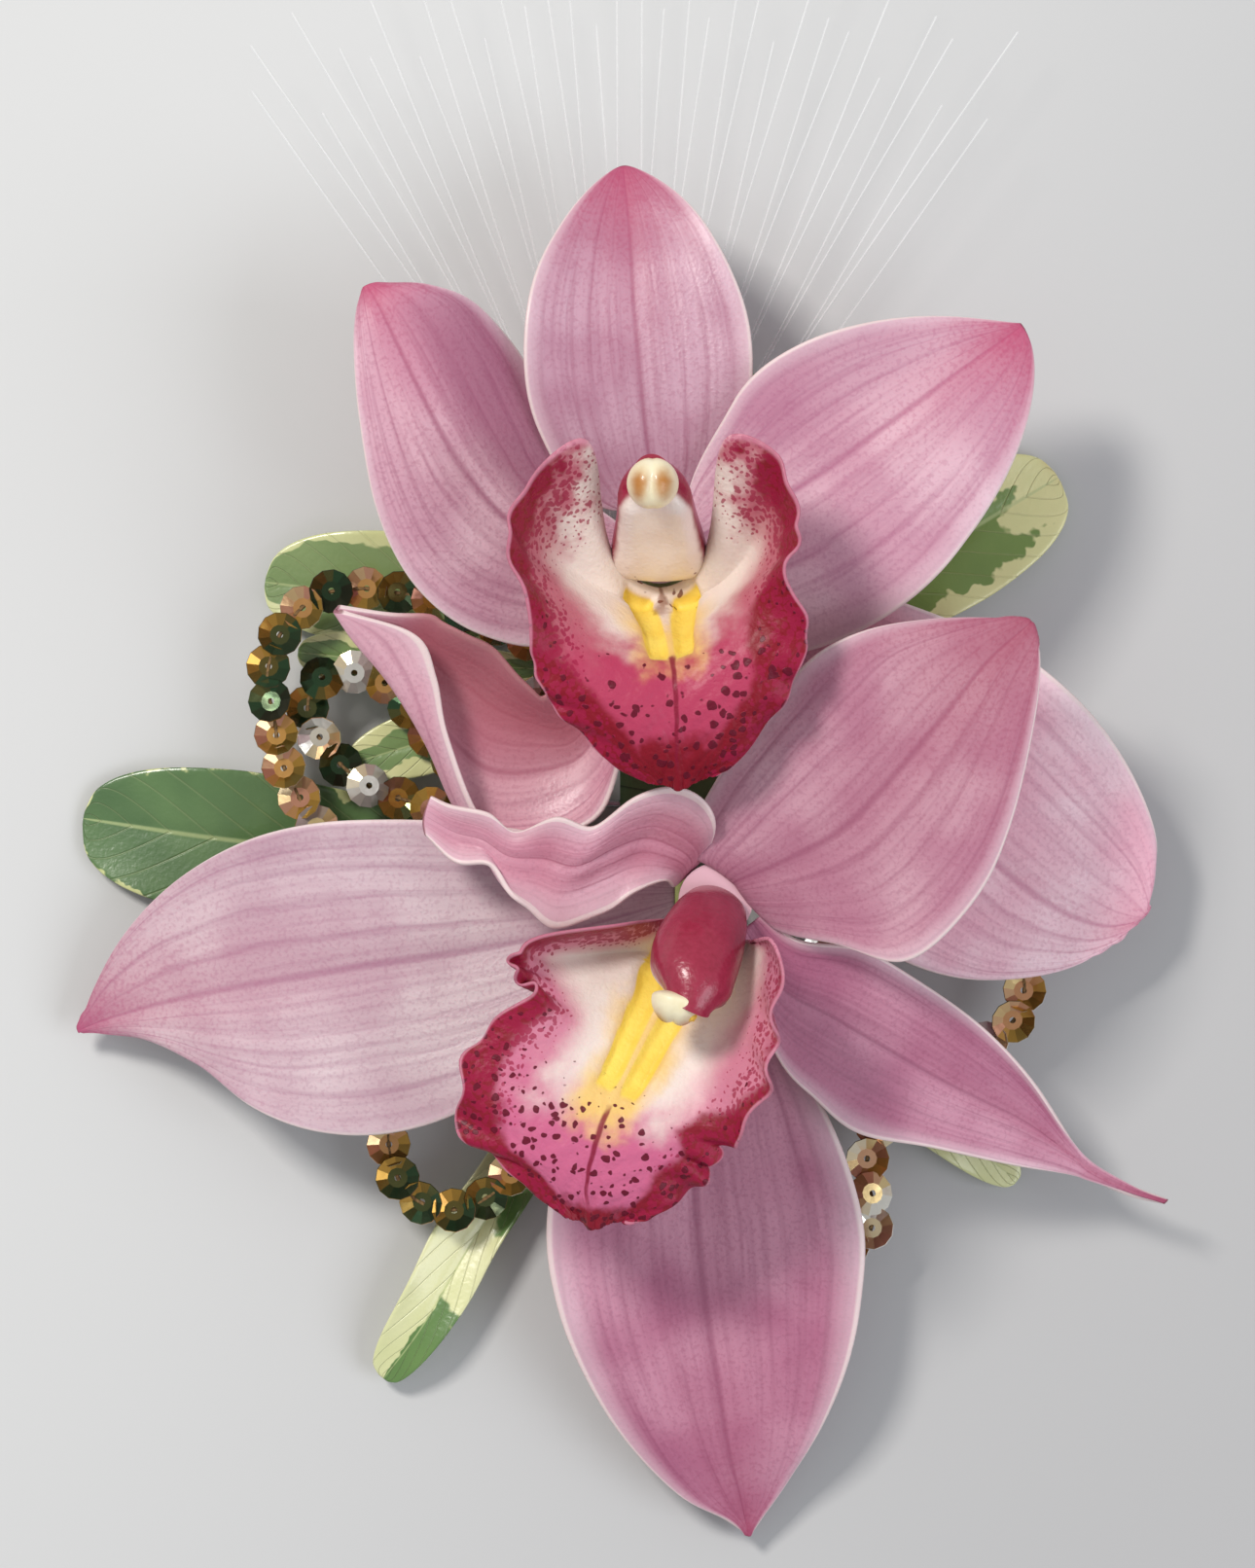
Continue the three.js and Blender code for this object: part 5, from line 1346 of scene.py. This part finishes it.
# Rows of each lip's midline and its two rims from base to tip, in lobe widths from the head
LIPS = {
    "upper": {
        "paint": lip_paint(
            "lip_upper", "b23c5c", field_start=0.44, border_start=0.76, side_start=0.74, lobe_border=0.3,
            outer_pull=0.2, right_pale=0.0, stripe_start=0.53, spot_scale=720.0, inner_pale=0.42,
        ),
        "scallop": 0.015, "frill": 0.45,
        "middle": [(0, -0.5, 0.07), (0.03, -0.6, 0.15), (0.04, -0.75, 0.32), (0.07, -0.9, 0.6),
                   (0.11, -1.12, 1.05), (0.15, -1.42, 1.36), (0.18, -1.85, 1.46), (0.18, -2.3, 1.34),
                   (0.2, -2.74, 1.05)],
        "left": [(-0.63, -0.5, 0.2), (-0.77, 1.1, 1.5), (-1.43, 0.74, 1.8), (-1.7, 0.02, 1.9),
                 (-1.43, -0.91, 1.75), (-1.41, -1.41, 1.6), (-1.13, -1.9, 1.4), (-0.58, -2.4, 1.2),
                 (-0.17, -2.64, 1.08)],
        "right": [(0.63, -0.5, 0.2), (0.68, 1.1, 1.5), (1.29, 0.96, 1.8), (1.54, 0.19, 1.9),
                  (1.43, -0.36, 1.8), (1.65, -0.97, 1.65), (1.45, -1.63, 1.45), (0.96, -2.31, 1.2),
                  (0.6, -2.58, 1.08)],
    },
    "lower": {
        "paint": lip_paint(
            "lip_lower", "c9658a", field_start=0.52, border_start=0.85, side_start=0.76, lobe_border=0.22,
            outer_pull=0.14, right_pale=0.13, stripe_start=0.58, spot_scale=900.0, inner_pale=0.0,
        ),
        "scallop": 0.045, "frill": 0.9,
        "middle": [(-0.2, -0.46, 0.07), (-0.26, -0.56, 0.15), (-0.4, -0.72, 0.3), (-0.6, -1.1, 0.55),
                   (-0.95, -1.8, 0.85), (-1.2, -2.3, 0.98), (-1.35, -2.7, 1.02), (-1.45, -3.15, 0.92),
                   (-1.4, -3.66, 0.66)],
        "left": [(-0.6, -0.2, 0.2), (-1.05, -0.25, 0.85), (-2.15, -0.44, 1.25), (-2.26, -0.78, 1.2),
                 (-2.05, -1.1, 1.1), (-2.75, -1.6, 1), (-2.85, -2.6, 0.85), (-2.15, -3.1, 0.75),
                 (-1.72, -3.5, 0.7)],
        "right": [(0.35, -0.5, 0.25), (0.6, -0.42, 1.5), (0.68, -0.9, 1.85), (0.6, -1.8, 1.75),
                  (0.38, -2.6, 1.45), (0.1, -2.75, 1.1), (-0.1, -3.05, 0.85), (-0.5, -3.4, 0.75),
                  (-1.02, -3.58, 0.7)],
    },
}
for bloom_name, lip in LIPS.items():
    surface = lip_surface(HEADS[bloom_name], lip)
    piece = thin_sheet(
        bloom_name + "_lip_skin", surface, LIP_THICKNESS, rows=96, columns=64,
        relief=lambda along, across: lip_relief(surface, lip["frill"], along, across),
        marks={"keel": lambda along, across: keel_share(surface, along, across)},
    )
    for vertex in piece.data.vertices:
        if vertex.normal.z < 0:
            piece.data.attributes["keel"].data[vertex.index].value = 0
    finish_piece(piece, lip["paint"], replaced=[bloom_name + "_lip"])


# Columns, anther caps and pollinaria: the column rises over the throat, cream towards the lip and
# crimson at its back, and its hood holds the two-lobed cap with the pollen behind it.
COLUMN_LENGTH = 16
COLUMN_BASE_WIDTH = 10.4
COLUMN_TIP_WIDTH = 8
COLUMN_DEPTH = 7
HOOD_REACH = 2.2
CAP_RADIUS = 2.9
CAP_HEIGHT = 2.8
CAP_BASE = 1

# Each column's line in shares of its length, and its back's directions at its base and its tip
COLUMNS = {
    "upper": {
        "lean": [(0, -0.19, 0), (-0.01, 0.02, 0.36), (-0.03, 0.24, 0.72), (-0.05, 0.4, 0.96)],
        "swell": (1.12, 1.1, 1.02, 0.98), "hood": 2.8, "cap": (0, 0, 0),
        "backs": ((0, 1, 0), (0, 0.8, -0.6)), "side": (1, 0, 0),
    },
    "lower": {
        "lean": [(0.0, -0.06, 0), (-0.07, -0.2, 0.4), (-0.16, -0.44, 0.74), (-0.2, -0.68, 0.9)],
        "swell": (0.7, 0.95, 1.16, 1.12), "hood": 3, "cap": (-1.0, 0.9, 0.8),
        "backs": ((0.42, 0.9, 0), (0.22, 0.5, 0.84)), "side": (0.9, -0.42, 0),
    },
}

column_skin, column_shader = plain_material("column_skin", {
    "Roughness": 0.34, "Coat Weight": 0.3, "Coat Roughness": 0.15,
})
column_along, column_round = map_shares(column_skin)[:2]
column_place = own_place(column_skin)
column_noise = noise(column_place, 300.0, 3.0)
column_fine = noise(column_place, 1600.0)
column_dots = add_node(column_skin, "ShaderNodeTexVoronoi", {"Vector": column_place, "Scale": 700.0})
# 1 at the column's back and -1 at its front, towards the lip
column_turn = math_node("SINE", times(less(column_round, 0.5), math.tau))
column_back = plus(column_turn, swing(column_noise, 0.5))
column_cream = blend_colours(column_noise, "e6d3c8", "f6ece4")
column_crimson = blend_colours(column_fine, "86142f", "a42c4a")
column_colour = blend_colours(steps_between(column_back, -0.5, -0.1), column_cream, column_crimson)
column_specks = times(
    fading_between(column_dots.outputs["Distance"], 0.14, 0.2),
    times(fading_between(column_along, 0.2, 0.35), fading_between(column_turn, -0.7, -0.4)),
)
column_colour = blend_colours(column_specks, column_colour, "6e1730")
colour_shader(column_shader, column_colour, column_fine, 0.0001)

cap_cream, cap_shader = plain_material("anther_cap", {"Roughness": 0.4, "Coat Weight": 0.2})
cap_attribute = add_node(cap_cream, "ShaderNodeAttribute", attribute_name="lobe").outputs["Fac"]
cap_noise = noise(own_place(cap_cream), 700.0, 3.0)
cap_lobe = steps_between(plus(cap_attribute, swing(cap_noise, 0.5)), 0.15, 1.05)
cap_base = blend_colours(cap_noise, "eadcae", "f6efd6")
colour_shader(cap_shader, blend_colours(cap_lobe, cap_base, "b5762f"), cap_noise, 0.0001)

pollen_gold, pollen_shader = plain_material("pollen_wax", {"Roughness": 0.45})
pollen_noise = noise(own_place(pollen_gold), 1800.0)
colour_shader(pollen_shader, blend_colours(pollen_noise, "d9a326", "efc84b"), pollen_noise, 0.0001)

for bloom_name, column in COLUMNS.items():
    head = HEADS[bloom_name]
    spine = curve_through([head + UP * HEAD_GAP + Vector(point) * COLUMN_LENGTH for point in column["lean"]])
    back_start, back_end = (Vector(back) for back in column["backs"])
    side = Vector(column["side"])
    tip_forward = (spine[-1] - spine[-4]).normalized()

    def column_surface(along, angle):
        centre, tangent = on_path(spine, along)
        back = back_start.lerp(back_end, along).normalized()
        swell = row_point([(value, 0, 0) for value in column["swell"]], along).x
        half = (COLUMN_BASE_WIDTH * (1 - along) + COLUMN_TIP_WIDTH * along) / 2 * swell
        turn = math.sin(angle)
        front = 0.4 * (0.35 + 0.65 * smooth_step(along, 0, 0.25))
        depth = COLUMN_DEPTH * (0.55 * turn if turn > 0 else -front * abs(turn) ** 0.6) * swell
        hollow = 1 - 0.35 * max(-turn, 0) ** 6 * smooth_step(along, 0.2, 0.6)
        hood = max(turn, 0) ** 0.7 * column["hood"] * max(along * 3 - 2, 0)
        close = (1 - 0.4 * smooth_step(along, 0.8, 1) ** 2) * (1 - 0.7 * max(1 - along / 0.05, 0) ** 2)
        sideways = side * half * close * math.cos(angle)
        return centre + sideways + back * depth * close * hollow + tip_forward * hood

    body = rolled_tube(bloom_name + "_column_skin", column_surface, rows=48, columns=48)
    finish_piece(body, column_skin, replaced=[bloom_name + "_column"])

    slant = math.atan2(HOOD_REACH, COLUMN_DEPTH * 0.55)
    facing = (tip_forward * math.cos(slant) - back_end * math.sin(slant)).normalized()
    cap_seat = spine[-1] + facing * (HEAD_GAP + HOOD_REACH * 0.3) + Vector(column["cap"])
    cap_side = (side - facing * side.dot(facing)).normalized()
    cap_up = facing.cross(cap_side)
    bpy.ops.object.select_all(action="DESELECT")
    bpy.ops.mesh.primitive_uv_sphere_add(segments=40, ring_count=28, radius=0.001)
    cap = bpy.context.active_object
    cap.name = bloom_name + "_anther_cap_shell"
    marks = cap.data.attributes.new("lobe", "FLOAT", "POINT")
    for vertex in cap.data.vertices:
        unit = vertex.co * 1000
        ridge = hump(unit.x, 0.12)
        lobes = hump(abs(unit.x) - 0.45, 0.25) * max(unit.z, 0)
        patch = hump(abs(unit.x) - 0.46, 0.42) * hump(unit.y + 0.1, 0.75)
        marks.data[vertex.index].value = patch * min(max(unit.z, 0) * 2, 1)
        radius = CAP_RADIUS * (1 + 0.02 * lobes - 0.05 * ridge)
        height = CAP_HEIGHT * (0.96 + 0.06 * lobes - 0.1 * ridge * (1 - unit.y))
        level = unit.z * (height if unit.z > 0 else CAP_BASE)
        vertex.co = (cap_seat + cap_side * unit.x * radius + cap_up * unit.y * radius + facing * level) / 1000
    bpy.ops.object.mode_set(mode="EDIT")
    bpy.ops.mesh.select_all(action="SELECT")
    bpy.ops.mesh.normals_make_consistent(inside=False)
    bpy.ops.object.mode_set(mode="OBJECT")
    bpy.ops.object.shade_smooth()
    finish_piece(cap, cap_cream, replaced=[bloom_name + "_anther_cap"])
    dress_solids([bloom_name + "_pollinarium"], pollen_gold)


# Ovaries: each bloom's head and green pedicel, ribbed along, which bends back to the stem wire.
# The head is blushed pink where the petals grow from it.
PEDICEL_RADIUS = 2
BLOOM_STEM_LEVEL = 5.7
HEAD_SHARE = 0.2
OVARIES = {
    "upper": {"bends": ((0.95, 0.9, 0.55), (0.6, 0.45, 0.08)), "end": 1},
    "lower": {"bends": ((0.9, 1.6, 0.4), (0.35, 1.9, 0.05)), "end": -1},
}

ovary_green, ovary_shader = plain_material("ovary_skin", {"Roughness": 0.45})
ovary_along, ovary_round = map_shares(ovary_green)[:2]
ovary_noise = noise(own_place(ovary_green), 240.0, 3.0)
ovary_ribs = math_node("ABSOLUTE", math_node("SINE", times(ovary_round, math.pi * 6)))
ovary_ribs = times(ovary_ribs, steps_between(ovary_along, 0.2, 0.3))
ovary_base = blend_colours(ovary_noise, "7c9152", "a9a86a")
ovary_head = fading_between(ovary_along, 0.02, 0.16)
ovary_colour = blend_colours(ovary_head, ovary_base, "dcb0bd")
colour_shader(ovary_shader, ovary_colour, plus(ovary_ribs, times(ovary_noise, 0.5)), 0.0003)

for bloom_name, ovary in OVARIES.items():
    head = HEADS[bloom_name]
    neck = head - UP * HEAD_HEIGHT
    end = Vector((0, ovary["end"] * (BINDING_LENGTH / 2 + PEDICEL_RADIUS * 2), BLOOM_STEM_LEVEL))
    reach = neck - end
    bends = [end + Vector(share * length for share, length in zip(bend, reach)) for bend in ovary["bends"]]
    spine = curve_through([neck, *bends, end])

    def ovary_surface(along, angle):
        if along < HEAD_SHARE:
            centre = head.lerp(neck, along / HEAD_SHARE * 0.75)
            tangent = -UP
            radius = HEAD_RADIUS
        else:
            share = (along - HEAD_SHARE) / (1 - HEAD_SHARE)
            centre, tangent = on_path(spine, share)
            narrow = PEDICEL_RADIUS + (HEAD_RADIUS - PEDICEL_RADIUS) * 0.35 * (1 - share)
            widen = 1 - smooth_step(share, 0, 0.08)
            radius = narrow + (HEAD_RADIUS - narrow) * widen * 0.3
        across = Vector((0, tangent.z, -tangent.y)).normalized()
        other = across.cross(tangent).normalized()
        radius *= 1 - 0.03 * abs(math.sin(angle * 3)) * smooth_step(along, HEAD_SHARE, 0.4)
        return centre + across * radius * math.cos(angle) + other * radius * math.sin(angle)

    pedicel = rolled_tube(bloom_name + "_pedicel_skin", ovary_surface, rows=60, columns=36)
    finish_piece(pedicel, ovary_green, replaced=[bloom_name + "_pedicel"])
